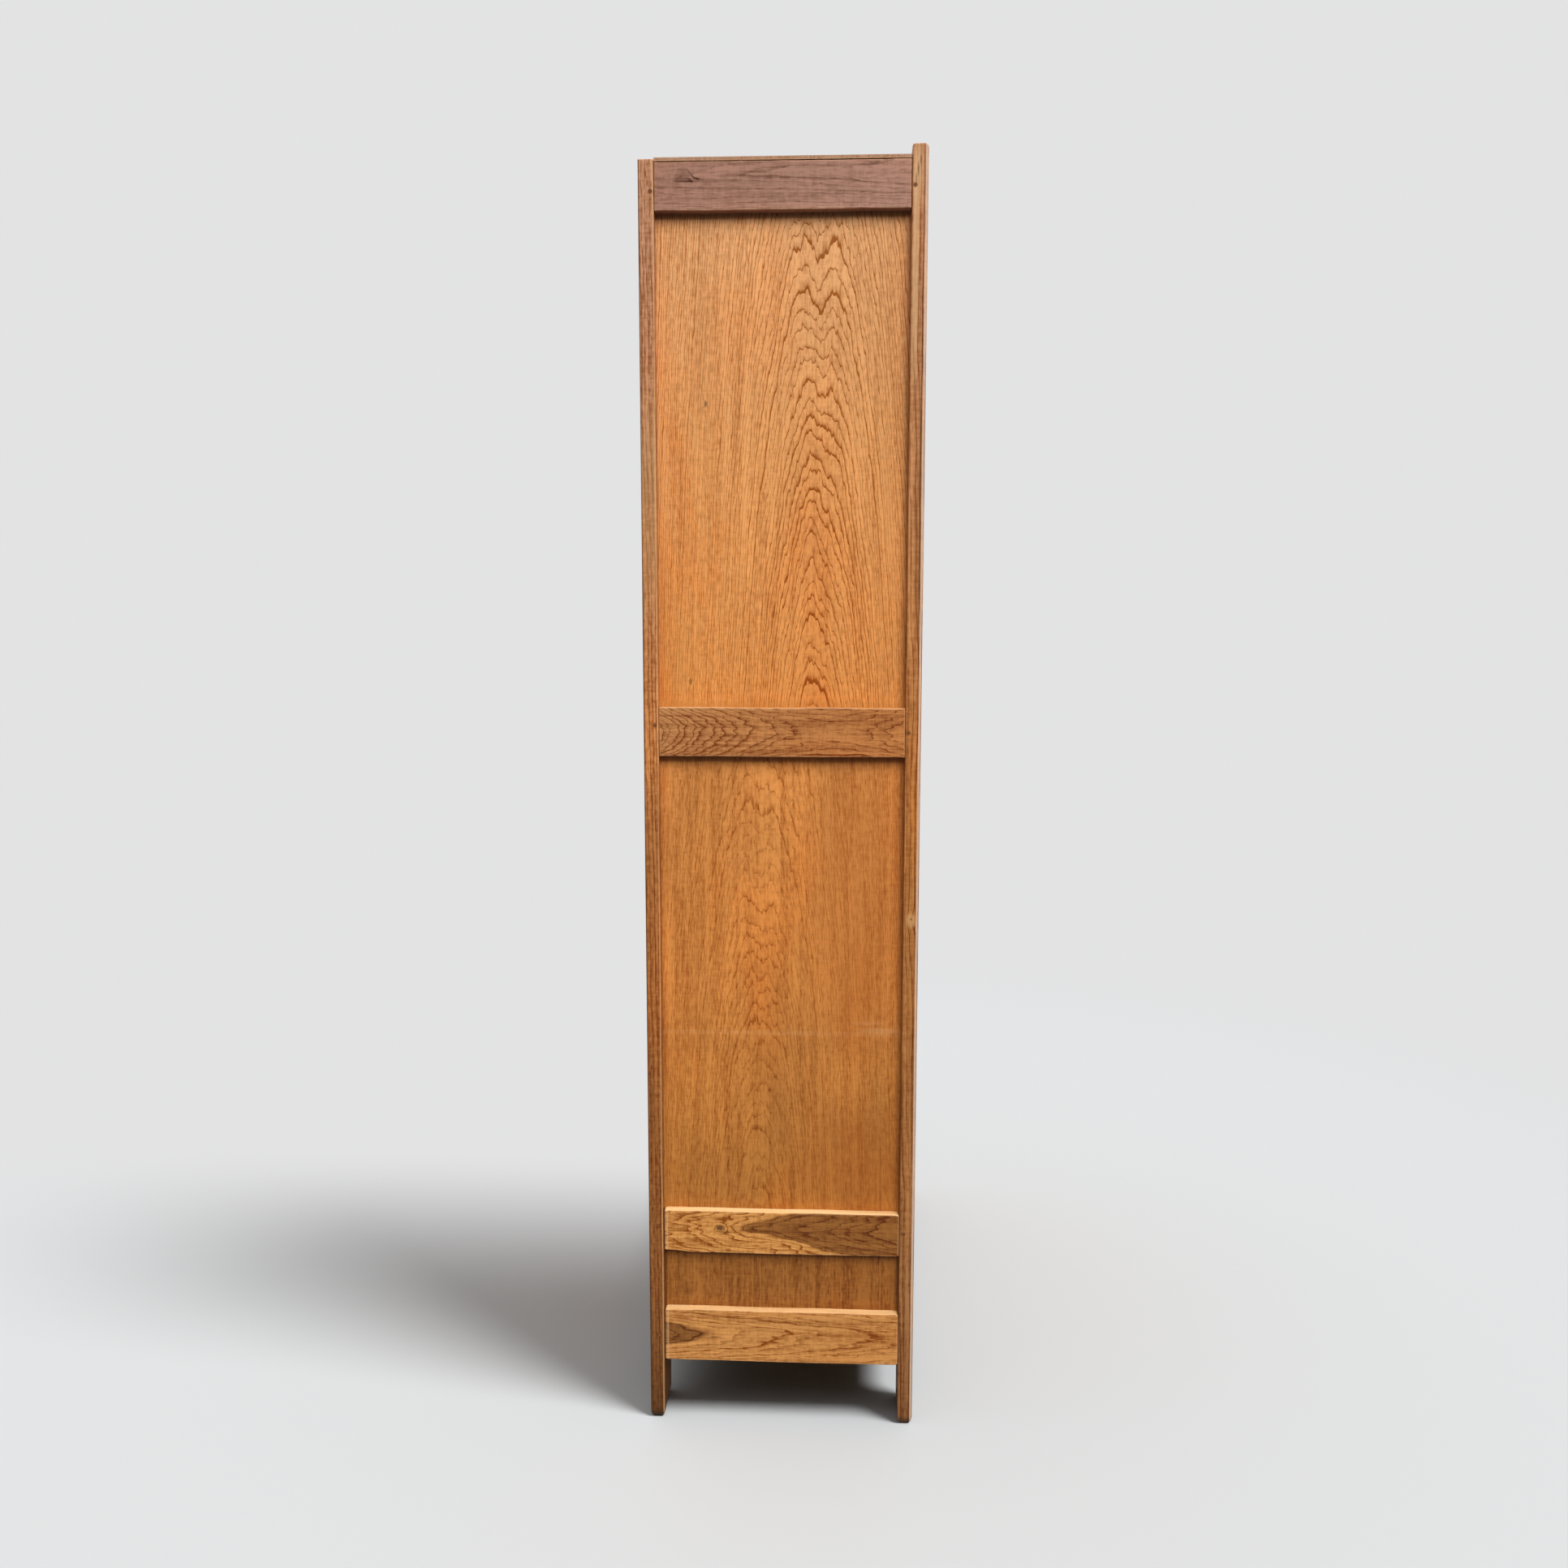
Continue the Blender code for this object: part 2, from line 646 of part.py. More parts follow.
def make_door(side, s):
    body = doors[side]
    run = (front_y, door_back_y)
    heights = (door_low, door_high)
    hinge_box = corners((s * (door_outer - DOOR_STILE), s * door_outer), run, heights)
    meeting_box = corners((s * door_inner, s * (door_inner + DOOR_STILE)), run, heights)
    hinge = board(f"door_{side}_hinge_stile", hinge_box, oak, body)
    meeting = board(f"door_{side}_meeting_stile", meeting_box, oak, body)
    posts = (hinge, meeting)

    levels = {
        "bottom": (door_low, door_low + DOOR_BOTTOM_RAIL),
        "middle": rail_levels["middle"],
        "top": (door_high - DOOR_TOP_RAIL, door_high),
    }
    open_span = (s * (door_inner + DOOR_STILE), s * (door_outer - DOOR_STILE))
    rail_span = (open_span[0] + s * FIT, open_span[1] - s * FIT)
    rails = {}
    for level, rail_heights in levels.items():
        box = corners(rail_span, run, rail_heights)
        rails[level] = rail(f"door_{side}_{level}_rail", box, 0, DOOR_TENON, posts, oak, body)

    panel_run = (front_y + DOOR_PANEL_RECESS, front_y + DOOR_PANEL_RECESS + PANEL_THICK)
    panel_span = (open_span[0] - s * PANEL_TONGUE, open_span[1] + s * PANEL_TONGUE)
    for name, below, above in (("lower", "bottom", "middle"), ("upper", "middle", "top")):
        panel_heights = (levels[below][1] - PANEL_TONGUE, levels[above][0] + PANEL_TONGUE)
        box = corners(panel_span, panel_run, panel_heights)
        sheet(f"door_{side}_{name}_panel", box, (*posts, rails[below], rails[above]), oak_veneer, body)
    return hinge, meeting


def make_pivots(side, s, hinge, crest, sill):
    # Turned pins: seated in the door's hinge stile, running in the rail, with a collar between them.
    bore = PIVOT_RADIUS + FIT
    for end, door_end, out, holder in (("top", door_high, 1, crest), ("bottom", door_low, -1, sill)):
        name = f"door_{side}_{end}_pivot"
        seat = door_end - out * PIVOT_SEAT
        tip = door_end + out * (DOOR_END_GAP + PIVOT_REACH)
        low, high = sorted((seat, tip))
        collar = sorted((door_end + out * FIT, door_end + out * (DOOR_END_GAP - FIT)))
        profile = [
            (0, high), (PIVOT_RADIUS, high), (PIVOT_RADIUS, collar[1]), (PIVOT_COLLAR_RADIUS, collar[1]),
            (PIVOT_COLLAR_RADIUS, collar[0]), (PIVOT_RADIUS, collar[0]), (PIVOT_RADIUS, low), (0, low),
        ]
        axis = Vector((s * pivot_x, pivot_y, 0))
        turned(name, profile, steel, doors[side], axis)
        middle = axis + Vector((0, 0, (low + high) / 2))
        length = high - low + 2 * FIT
        cut(hinge, round_cutter(f"{name}_seat", bore, length, middle, doors[side]))
        cut(holder, round_cutter(f"{name}_socket", bore, length, middle, carcass))


def bar_outline(width, up, down):
    # A flat bar with round ends, reaching up and down from its pivot.
    r = width / 2
    return arc((0, up - r), r, 0, math.pi) + arc((0, r - down), r, math.pi, math.tau)


def flat_bar(name, width, up, down, thickness, body, place):
    bar = add_cutter(name, outline_mesh(name, bar_outline(width, up, down), thickness), body, place)
    bar.rotation_euler = (math.pi / 2, 0, 0)
    return bar


def make_door_turn(meeting):
    # Knob, spindle and tongue in one; the tongue hangs free and turns behind the other door.
    axis = Vector((meeting_x, front_y, TURN_HEIGHT))
    tongue_y = door_back_y + TONGUE_CLEAR
    end = front_y - tongue_y - TONGUE_THICK
    shoulder = KNOB_PROJECTION - KNOB_RADIUS / 2
    dome_round = KNOB_PROJECTION - shoulder
    dome = arc((KNOB_RADIUS - dome_round, shoulder), dome_round, math.pi / 2, 0)
    profile = [(0, KNOB_PROJECTION)] + dome + [
        (KNOB_NECK_RADIUS, (shoulder + KNOB_ROSE_THICK) / 2),
        (KNOB_NECK_RADIUS, KNOB_ROSE_THICK + FIT), (KNOB_ROSE_RADIUS, KNOB_ROSE_THICK),
        (KNOB_ROSE_RADIUS, FIT), (SPINDLE_RADIUS, FIT), (SPINDLE_RADIUS, end), (0, end),
    ]
    knob = turned("door_turn", profile, brass, doors["right"], axis, facing_front=True)
    reach = meeting_x + door_inner + TONGUE_HOLD
    tongue = flat_bar("door_turn_tongue", TONGUE_WIDTH, TONGUE_WIDTH / 2, reach, TONGUE_THICK,
                      doors["right"], (axis.x, tongue_y + TONGUE_THICK / 2, axis.z))
    fuse(knob, tongue)
    grip_low = (shoulder + KNOB_ROSE_THICK) / 2
    for flank, s in SIDES:
        box = corners((axis.x + s * KNOB_GRIP / 2, axis.x + 2 * s * KNOB_RADIUS),
                      (front_y - 2 * KNOB_PROJECTION, front_y - grip_low),
                      (axis.z - 2 * KNOB_RADIUS, axis.z + 2 * KNOB_RADIUS))
        cut(knob, box_cutter(f"knob_flank_{flank}", box, doors["right"]))
    hole = (axis.x, (front_y + door_back_y) / 2, axis.z)
    cut(meeting, round_cutter("door_turn_hole", SPINDLE_RADIUS + FIT, 2 * DOOR_THICK, hole, doors["right"],
                              along_y=True))


def make_door_button(meeting):
    # Hangs down at rest, and turned upwards it stands behind the crest rail.
    axis = Vector((-meeting_x, door_back_y, door_high - BUTTON_DROP))
    bar_y = inner_front_y + BUTTON_CLEAR
    end = door_back_y - bar_y - BUTTON_THICK
    profile = [
        (0, BUTTON_SCREW_SEAT), (BUTTON_SCREW_RADIUS, BUTTON_SCREW_SEAT), (BUTTON_SCREW_RADIUS, -FIT),
        (BUTTON_BOSS_RADIUS, -FIT), (BUTTON_BOSS_RADIUS, end - FIT), (0, end - FIT),
    ]
    button = turned("door_button", profile, brass, doors["left"], axis, facing_front=True)
    reach = BUTTON_DROP + DOOR_END_GAP + BUTTON_HOLD
    bar = flat_bar("door_button_bar", BUTTON_WIDTH, BUTTON_WIDTH / 2, reach, BUTTON_THICK, doors["left"],
                   (axis.x, bar_y + BUTTON_THICK / 2, axis.z))
    fuse(button, bar)
    depth = 2 * (BUTTON_SCREW_SEAT + FIT)
    cut(meeting, round_cutter("door_button_hole", BUTTON_SCREW_RADIUS + FIT, depth, axis, doors["left"],
                              along_y=True))


def smooth_round_pieces(names):
    for name in names:
        bpy.data.objects[name].data.shade_smooth()


front_posts, back_posts = make_posts()
end_rails = make_ends(front_posts, back_posts)
cut_wane(end_rails["drawer", "left"])
crest_rail, door_sill = make_front_frame(front_posts)
back_board = make_back(back_posts)
make_top(crest_rail)
make_floor(end_rails, back_posts, back_board)
make_door_stop()
make_shelf()
make_runners()
make_drawer()
meeting_stiles = {}
for door_side, sign in SIDES:
    hinge_stile, meeting_stiles[door_side] = make_door(door_side, sign)
    make_pivots(door_side, sign, hinge_stile, crest_rail, door_sill)
make_door_turn(meeting_stiles["right"])
make_door_button(meeting_stiles["left"])
smooth_round_pieces(["hanging_rail"])
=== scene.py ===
import json
import math
import random

import bmesh
import bpy
from mathutils import Euler, Matrix, Vector, noise

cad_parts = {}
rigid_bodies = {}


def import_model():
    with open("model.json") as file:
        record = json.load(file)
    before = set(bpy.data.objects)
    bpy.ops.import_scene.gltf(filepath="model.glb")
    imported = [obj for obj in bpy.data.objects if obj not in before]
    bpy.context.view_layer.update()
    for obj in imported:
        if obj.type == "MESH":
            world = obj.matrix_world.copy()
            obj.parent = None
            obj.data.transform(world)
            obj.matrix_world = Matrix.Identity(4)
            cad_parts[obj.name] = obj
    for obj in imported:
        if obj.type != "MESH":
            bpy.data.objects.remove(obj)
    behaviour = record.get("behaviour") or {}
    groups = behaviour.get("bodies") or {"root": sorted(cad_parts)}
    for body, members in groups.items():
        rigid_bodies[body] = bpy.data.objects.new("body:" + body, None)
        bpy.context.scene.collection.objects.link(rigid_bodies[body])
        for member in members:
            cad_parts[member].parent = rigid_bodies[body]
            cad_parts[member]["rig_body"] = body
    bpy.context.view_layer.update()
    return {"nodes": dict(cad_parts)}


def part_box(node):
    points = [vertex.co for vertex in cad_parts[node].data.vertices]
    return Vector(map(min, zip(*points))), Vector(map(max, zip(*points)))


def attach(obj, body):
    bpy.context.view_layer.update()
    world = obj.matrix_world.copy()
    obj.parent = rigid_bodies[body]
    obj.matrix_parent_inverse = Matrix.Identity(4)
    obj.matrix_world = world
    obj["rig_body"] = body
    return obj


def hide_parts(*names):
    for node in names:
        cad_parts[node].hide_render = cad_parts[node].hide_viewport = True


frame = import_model()
nodes = frame["nodes"]
scene = bpy.context.scene
scene.view_settings.view_transform = "Standard"
print("frame loaded:", len(nodes), "nodes")


def fromHex(text):  # sRGB hex to linear RGBA
    channels = [int(text[i:i + 2], 16) / 255 for i in (1, 3, 5)]
    return (*[c / 12.92 if c <= 0.04045 else ((c + 0.055) / 1.055) ** 2.4 for c in channels], 1.0)


def addNode(tree, kind, inputs=None, **settings):  # one node with its settings, values and links
    node = tree.nodes.new(kind)
    for key, value in settings.items():
        setattr(node, key, value)
    for socket, value in (inputs or {}).items():
        if isinstance(value, bpy.types.Node):
            value = value.outputs[0]
        if isinstance(value, bpy.types.NodeSocket):
            tree.links.new(value, node.inputs[socket])
        else:
            node.inputs[socket].default_value = value
    return node


soft = {"interpolation_type": "SMOOTHSTEP"}  # for a range that sets in and ends gently
timesPlus = {"operation": "MULTIPLY_ADD"}  # first times second, plus third
tinted = {"data_type": "RGBA"}  # for a mix of colours


def emptyMaterial(name):
    material = bpy.data.materials.new(name)
    material.use_nodes = True
    material.node_tree.nodes.clear()
    return material, material.node_tree


# Camera: square on to the left end, a little above the middle
photoView = {
    "place": (-2.4683, -0.0907, 1.2569),  # metres
    "tilt": 83.048,  # degrees up from straight down
    "heading": -87.215,  # degrees, looking along +X
    "roll": 0.085,  # degrees
    "lens": 31.45,  # mm
    "sensor": 36,  # mm
}
camera = bpy.data.objects.new("photoCamera", bpy.data.cameras.new("photoCamera"))
scene.collection.objects.link(camera)
camera.location = photoView["place"]
aim = Euler((math.radians(photoView["tilt"]), 0, math.radians(photoView["heading"]))).to_matrix()
camera.rotation_euler = (aim @ Matrix.Rotation(math.radians(photoView["roll"]), 3, "Z")).to_euler()
camera.data.lens = photoView["lens"]
camera.data.sensor_width = photoView["sensor"]
scene.camera = camera
print("camera set")


# Studio: a steep lamp draws the shadow on the floor, others light the wardrobe, under a pale sky
studio = {
    "backdrop": "#e3e3e4",
    "floor": "#cacccd",
    "floorBounce": "#565657",  # what the wardrobe gets back from the floor
    "floorRadius": 12.0,  # metres
    "floorSides": 128,
    "floorFade": (1.1, 2.6),  # the floor runs into the backdrop between these distances
    "sweep": ((-0.14, 0.62), (0.20, 0.36)),  # and sooner behind the wardrobe: from and to, in x and in y
    "lamps": {  # angle in degrees; the first one falls on the floor, the others on all but the floor
        "floor": {"toward": (-0.30, -0.61, 1.0), "strength": 3.15, "angle": 21, "onFloor": True},
        "wardrobe": {"toward": (-0.75, -0.30, 0.85), "strength": 3.48, "angle": 42},
        "front": {"toward": (0.25, -1.0, 0.15), "strength": 0.62, "angle": 30},
        "back": {"toward": (0.55, 0.65, 0.45), "strength": 0.9, "angle": 40},
    },
    "sky": (0.03, 0.86),  # light from low down and from straight up
    "skyFrom": 0.50,  # height at which it starts to grow
    "bounce": 0.24,  # extra light from behind the wardrobe's far corner
    "bounceToward": (0.55, 0.55, 0.63),
    "bounceSpread": (0.1, 0.9),  # none and all of it, by how nearly a direction agrees
    "bounceRise": (0.15, 0.5),  # none and all of it by height, so that none creeps in under the wardrobe
}


def seenRay(tree):  # 1 for what the camera sees, also in metal or through glass
    path = addNode(tree, "ShaderNodeLightPath").outputs
    mirror = addNode(tree, "ShaderNodeMath", {0: path["Is Glossy Ray"], 1: path["Is Transmission Ray"]},
                     operation="MAXIMUM")
    return addNode(tree, "ShaderNodeMath", {0: path["Is Camera Ray"], 1: mirror}, operation="MAXIMUM")


def makeStudio(look):
    world = bpy.data.worlds.new("paleStudio")
    world.use_nodes = True
    scene.world = world
    tree = world.node_tree
    tree.nodes.clear()
    toward = addNode(tree, "ShaderNodeTexCoord").outputs["Generated"]
    height = addNode(tree, "ShaderNodeSeparateXYZ", {0: toward}).outputs["Z"]
    sky = addNode(tree, "ShaderNodeMapRange", {"Value": height, "From Min": look["skyFrom"], "From Max": 1.0,
                  "To Min": look["sky"][0], "To Max": look["sky"][1]}, **soft)
    facing = addNode(tree, "ShaderNodeVectorMath", {0: toward, 1: look["bounceToward"]}, operation="DOT_PRODUCT")
    least, most = look["bounceSpread"]
    bounce = addNode(tree, "ShaderNodeMapRange", {"Value": facing.outputs["Value"], "From Min": least,
                     "From Max": most, "To Max": look["bounce"]}, **soft)
    least, most = look["bounceRise"]
    raised = addNode(tree, "ShaderNodeMapRange", {"Value": height, "From Min": least, "From Max": most}, **soft)
    bounce = addNode(tree, "ShaderNodeMath", {0: bounce, 1: raised}, operation="MULTIPLY")
    total = addNode(tree, "ShaderNodeMath", {0: sky, 1: bounce}, operation="ADD")
    light = addNode(tree, "ShaderNodeBackground", {"Color": fromHex("#ffffff"), "Strength": total})
    pale = addNode(tree, "ShaderNodeBackground", {"Color": fromHex(look["backdrop"])})
    both = addNode(tree, "ShaderNodeMixShader", {0: seenRay(tree), 1: light, 2: pale})
    addNode(tree, "ShaderNodeOutputWorld", {"Surface": both})

    material, tree = emptyMaterial("paleStudioFloor")  # matt painted floor, runs into the backdrop far away
    spot = addNode(tree, "ShaderNodeTexCoord").outputs["Object"]
    distance = addNode(tree, "ShaderNodeVectorMath", {0: spot}, operation="LENGTH").outputs["Value"]
    far = addNode(tree, "ShaderNodeMapRange", {"Value": distance, "From Min": look["floorFade"][0],
                  "From Max": look["floorFade"][1]}, **soft)
    side = addNode(tree, "ShaderNodeSeparateXYZ", {0: spot}).outputs
    sweep = [addNode(tree, "ShaderNodeMapRange", {"Value": side[i], "From Min": start, "From Max": end},
                     **soft) for i, (start, end) in enumerate(look["sweep"])]
    sweep = addNode(tree, "ShaderNodeMath", {0: sweep[0], 1: sweep[1]}, operation="MULTIPLY")
    far = addNode(tree, "ShaderNodeMath", {0: far, 1: sweep}, operation="MAXIMUM")
    seen = seenRay(tree)
    away = addNode(tree, "ShaderNodeMath", {0: far, 1: seen}, operation="MULTIPLY")
    paint = addNode(tree, "ShaderNodeMix", {0: seen, 6: fromHex(look["floorBounce"]),
                    7: fromHex(look["floor"])}, **tinted).outputs[2]
    matt = addNode(tree, "ShaderNodeBsdfDiffuse", {"Color": paint})
    pale = addNode(tree, "ShaderNodeEmission", {"Color": fromHex(look["backdrop"])})
    both = addNode(tree, "ShaderNodeMixShader", {0: away, 1: matt, 2: pale})
    addNode(tree, "ShaderNodeOutputMaterial", {"Surface": both})
    shell = bmesh.new()
    bmesh.ops.create_circle(shell, cap_ends=True, segments=look["floorSides"], radius=look["floorRadius"])
    mesh = bpy.data.meshes.new("studioFloor")
    shell.to_mesh(mesh)
    shell.free()
    mesh.materials.append(material)
    floor = bpy.data.objects.new("studioFloor", mesh)
    scene.collection.objects.link(floor)

    for name, lamp in look["lamps"].items():
        sun = bpy.data.objects.new(name + "Lamp", bpy.data.lights.new(name + "Lamp", "SUN"))
        scene.collection.objects.link(sun)
        sun.rotation_euler = Vector(lamp["toward"]).to_track_quat("Z", "Y").to_euler()
        sun.data.energy = lamp["strength"]
        sun.data.angle = math.radians(lamp["angle"])
        lit = bpy.data.collections.new(name + "Lit")
        lit.objects.link(floor)
        lit.collection_objects[0].light_linking.link_state = "INCLUDE" if "onFloor" in lamp else "EXCLUDE"
        sun.light_linking.receiver_collection = lit


makeStudio(studio)
print("studio lit")


# Wood: growth rings round a pith line, cut by the board, with pores, streaks and worn edges.
# Place is in metres: across the board, through it, along its grain.
grainNoise = {  # size across, size along the grain (metres), detail
    "wave": (0.036, 0.26, 2.0),
    "jag": (0.0060, 0.034, 2.0),
    "stripe": (0.008, 0.26, 2.0),
    "streak": (0.0028, 0.013, 1.5),
    "strand": (0.0024, 0.090, 2.0),
    "fleck": (0.014, 0.0035, 1.0),  # faint cross marks of the rays
    "pore": (0.0012, 0.012, 1.0),  # real vessels are 0.3 mm wide, drawn wider so that they show
    "cloud": (0.10, 0.34, 2.0),
}
ringShade = ((0.0, 1.0), (0.06, 0.85), (0.15, 0.38), (0.36, 0.12), (0.65, 0.0), (0.96, 0.0))  # place, darkness
woodFinish = {  # the same on every board
    "ringDrift": (0.6, 1.1),  # how often the rings' width changes, and by how much
    "ringStrength": (0.6, 0.4),  # spread from ring to ring, and the least
    "ringTone": 0.10,  # brightness from ring to ring
    "poreLevel": (0.56, 0.70),
    "poreCrowd": (0.75, 0.25),  # more of them in a ring line, and the rest everywhere
    "stripe": 0.6,
    "flowLevel": 0.70,  # streaks below this level stay pale
    "heartEdge": (-0.0004, 0.0012),  # metres, from heartwood to sapwood
    "tone": 0.95,
    "blushTint": "#ffe7cb", "blushLevel": (0.46, 0.66),
    # the grime tint is for painted shade with some dirt along the edges of sunk panels
    "grimeAndShadeTint": "#3d2410", "wearTint": "#dba877",
    "ledgeTint": "#facf94", "ledgeUp": (0.5, 0.95),  # how far up a face has to look to be painted paler by the light from above
    "ledgePatch": (0.36, 0.56), "ledgeLeast": 0.45,
    "rough": (0.38, 0.16, 0.20),  # of the varnish, more in clouds, more in pores
    "height": (0.8, -0.35, -0.6, 0.2),  # of the surface, ring lines, pores, streaks
    "bump": (0.35, 0.0005),  # strength, and depth in metres
    "shine": 0.22,
    # default tints of the marks: dark for stains, knots and painted shade, pale for worn spots and painted
    # highlights
    "darkMarkTint": "#35200f", "paleMarkTint": "#f0bd80", "markEdge": (0.4, 1.3),  # a mark is full to none between these
    "knotReach": 2.0,  # the rings bend out to this many times a knot's size
}
boardColors = ("paleLow", "paleMid", "paleHigh", "line", "sap")
boardValues = ("seed", "pith", "depth", "slope", "bend", "pitch", "wave", "jag", "lift", "heart", "ring", "crisp",
               "flow", "fleck", "strand", "pore", "cloud", "blush", "wear", "wearWidth", "grimeAndShade", "grimeAndShadeWidth",
               "ledge")


def woodTree(finish):
    tree = bpy.data.node_groups.new("sawnWood", "ShaderNodeTree")
    for way, kind, names in (("INPUT", "Vector", ("place", "half")), ("INPUT", "Color", boardColors),
                             ("INPUT", "Float", boardValues), ("OUTPUT", "Color", ("color",)),
                             ("OUTPUT", "Float", ("roughness", "height"))):
        for name in names:
            tree.interface.new_socket(name=name, in_out=way, socket_type="NodeSocket" + kind)
    given = addNode(tree, "NodeGroupInput").outputs

    field = {}
    for name, (across, along, detail) in grainNoise.items():
        spread = addNode(tree, "ShaderNodeVectorMath", {0: given["place"],
                         1: (1 / across, 1 / across, 1 / along)}, operation="MULTIPLY")
        grain = addNode(tree, "ShaderNodeTexNoise", {"Vector": spread, "W": given["seed"], "Scale": 1.0,
                        "Detail": detail}, noise_dimensions="4D")
        field[name] = grain.outputs[0]
    mood = addNode(tree, "ShaderNodeSeparateColor", {0: grain.outputs["Color"]}).outputs[1]  # of the clouds
    axis = addNode(tree, "ShaderNodeSeparateXYZ", {0: given["place"]}).outputs

    # distance from the pith line
    tilt = addNode(tree, "ShaderNodeMath", {0: axis["Z"], 1: given["bend"], 2: given["slope"]}, **timesPlus)
    deep = addNode(tree, "ShaderNodeMath", {0: axis["Z"], 1: tilt, 2: given["depth"]}, **timesPlus)
    deep = addNode(tree, "ShaderNodeMath", {0: deep, 1: axis["Y"]}, operation="SUBTRACT")
    aside = addNode(tree, "ShaderNodeMath", {0: axis["X"], 1: given["pith"]}, operation="SUBTRACT")
    cross = addNode(tree, "ShaderNodeCombineXYZ", {0: aside, 1: deep})
    radius = addNode(tree, "ShaderNodeVectorMath", {0: cross}, operation="LENGTH").outputs["Value"]
    for name, reach in (("wave", given["wave"]), ("jag", given["jag"])):
        centred = addNode(tree, "ShaderNodeMath", {0: field[name], 1: 0.5}, operation="SUBTRACT")
        radius = addNode(tree, "ShaderNodeMath", {0: centred, 1: reach, 2: radius}, **timesPlus)
    radius = addNode(tree, "ShaderNodeMath", {0: radius, 1: given["lift"]}, operation="ADD")

    # ring lines of uneven width and strength
    count = addNode(tree, "ShaderNodeMath", {0: radius, 1: given["pitch"]}, operation="DIVIDE")
    often, far = finish["ringDrift"]
    uneven = addNode(tree, "ShaderNodeTexNoise", {"W": count, "Scale": often, "Detail": 1.0}, noise_dimensions="1D")
    count = addNode(tree, "ShaderNodeMath", {0: uneven, 1: far, 2: count}, **timesPlus)
    phase = addNode(tree, "ShaderNodeMath", {0: count}, operation="FRACT")
    number = addNode(tree, "ShaderNodeMath", {0: count}, operation="FLOOR")
    year = addNode(tree, "ShaderNodeTexWhiteNoise", {"W": number}, noise_dimensions="1D")
    spread, least = finish["ringStrength"]
    strength = addNode(tree, "ShaderNodeMath", {0: year, 1: spread, 2: least}, **timesPlus)
    shade = addNode(tree, "ShaderNodeValToRGB", {0: phase})
    while len(shade.color_ramp.elements) < len(ringShade):
        shade.color_ramp.elements.new(0.5)
    for element, (place, level) in zip(shade.color_ramp.elements, ringShade):
        element.position = place
        element.color = (level, level, level, 1.0)
    shade = addNode(tree, "ShaderNodeMath", {0: shade, 1: given["crisp"]}, operation="POWER")
    line = addNode(tree, "ShaderNodeMath", {0: shade, 1: strength}, operation="MULTIPLY")

    # pores crowd into the ring lines
    least, most = finish["poreLevel"]
    dots = addNode(tree, "ShaderNodeMapRange", {"Value": field["pore"], "From Min": least, "From Max": most})
    inLine, elsewhere = finish["poreCrowd"]
    crowd = addNode(tree, "ShaderNodeMath", {0: shade, 1: inLine, 2: elsewhere}, **timesPlus)
    pores = addNode(tree, "ShaderNodeMath", {0: dots, 1: crowd}, operation="MULTIPLY")

    flow = addNode(tree, "ShaderNodeMix", {0: given["strand"], 2: field["streak"], 3: field["strand"]})
    flow = addNode(tree, "ShaderNodeMath", {0: field["stripe"], 1: finish["stripe"], 2: flow}, **timesPlus)
    flow = addNode(tree, "ShaderNodeMath", {0: field["fleck"], 1: given["fleck"], 2: flow}, **timesPlus)
    shift = addNode(tree, "ShaderNodeMath", {0: given["fleck"], 1: 0.5, 2: finish["flowLevel"]}, **timesPlus)
    flow = addNode(tree, "ShaderNodeMath", {0: flow, 1: shift}, operation="SUBTRACT")
    tone = addNode(tree, "ShaderNodeMath", {0: line, 1: given["ring"]}, operation="MULTIPLY")
    tone = addNode(tree, "ShaderNodeMath", {0: flow, 1: given["flow"], 2: tone}, **timesPlus)
    tone = addNode(tree, "ShaderNodeMath", {0: pores, 1: given["pore"], 2: tone}, **timesPlus,
                   use_clamp=True)

    # colour drifts from one end of the board to the other; sapwood is paler
    ends = addNode(tree, "ShaderNodeVectorMath", {0: given["place"], 1: given["half"]}, operation="DIVIDE")
    along = addNode(tree, "ShaderNodeSeparateXYZ", {0: ends}).outputs["Z"]
    # on the posts and side panels this drift also holds painted light and shade, darker low down
    pale = given["paleMid"]
    for end, reach in (("paleLow", -1.0), ("paleHigh", 1.0)):
        share = addNode(tree, "ShaderNodeMapRange", {"Value": along, "From Min": 0.0, "From Max": reach})
        pale = addNode(tree, "ShaderNodeMix", {0: share, 6: pale, 7: given[end]}, **tinted).outputs[2]
    past = addNode(tree, "ShaderNodeMath", {0: radius, 1: given["heart"]}, operation="SUBTRACT")
    least, most = finish["heartEdge"]
    sap = addNode(tree, "ShaderNodeMapRange", {"Value": past, "From Min": least, "From Max": most})
    pale = addNode(tree, "ShaderNodeMix", {0: sap, 6: pale, 7: given["sap"]}, **tinted).outputs[2]
    dark = addNode(tree, "ShaderNodeMix", {0: 1.0, 6: pale, 7: given["line"]}, **tinted,
                   blend_type="MULTIPLY").outputs[2]
    wood = addNode(tree, "ShaderNodeMix", {0: tone, 6: pale, 7: dark}, **tinted).outputs[2]
    cloudy = addNode(tree, "ShaderNodeMath", {0: field["cloud"], 1: 0.5}, operation="SUBTRACT")
    level = addNode(tree, "ShaderNodeMath", {0: cloudy, 1: given["cloud"], 2: finish["tone"]}, **timesPlus)
    level = addNode(tree, "ShaderNodeMath", {0: year, 1: finish["ringTone"], 2: level}, **timesPlus)
    wood = addNode(tree, "ShaderNodeHueSaturation", {"Value": level, "Color": wood})
    least, most = finish["blushLevel"]
    warm = addNode(tree, "ShaderNodeMapRange", {"Value": mood, "From Min": least, "From Max": most,
                   "To Max": given["blush"]}, **soft)
    wood = addNode(tree, "ShaderNodeMix", {0: warm, 6: wood, 7: fromHex(finish["blushTint"])}, **tinted,
                   blend_type="MULTIPLY").outputs[2]

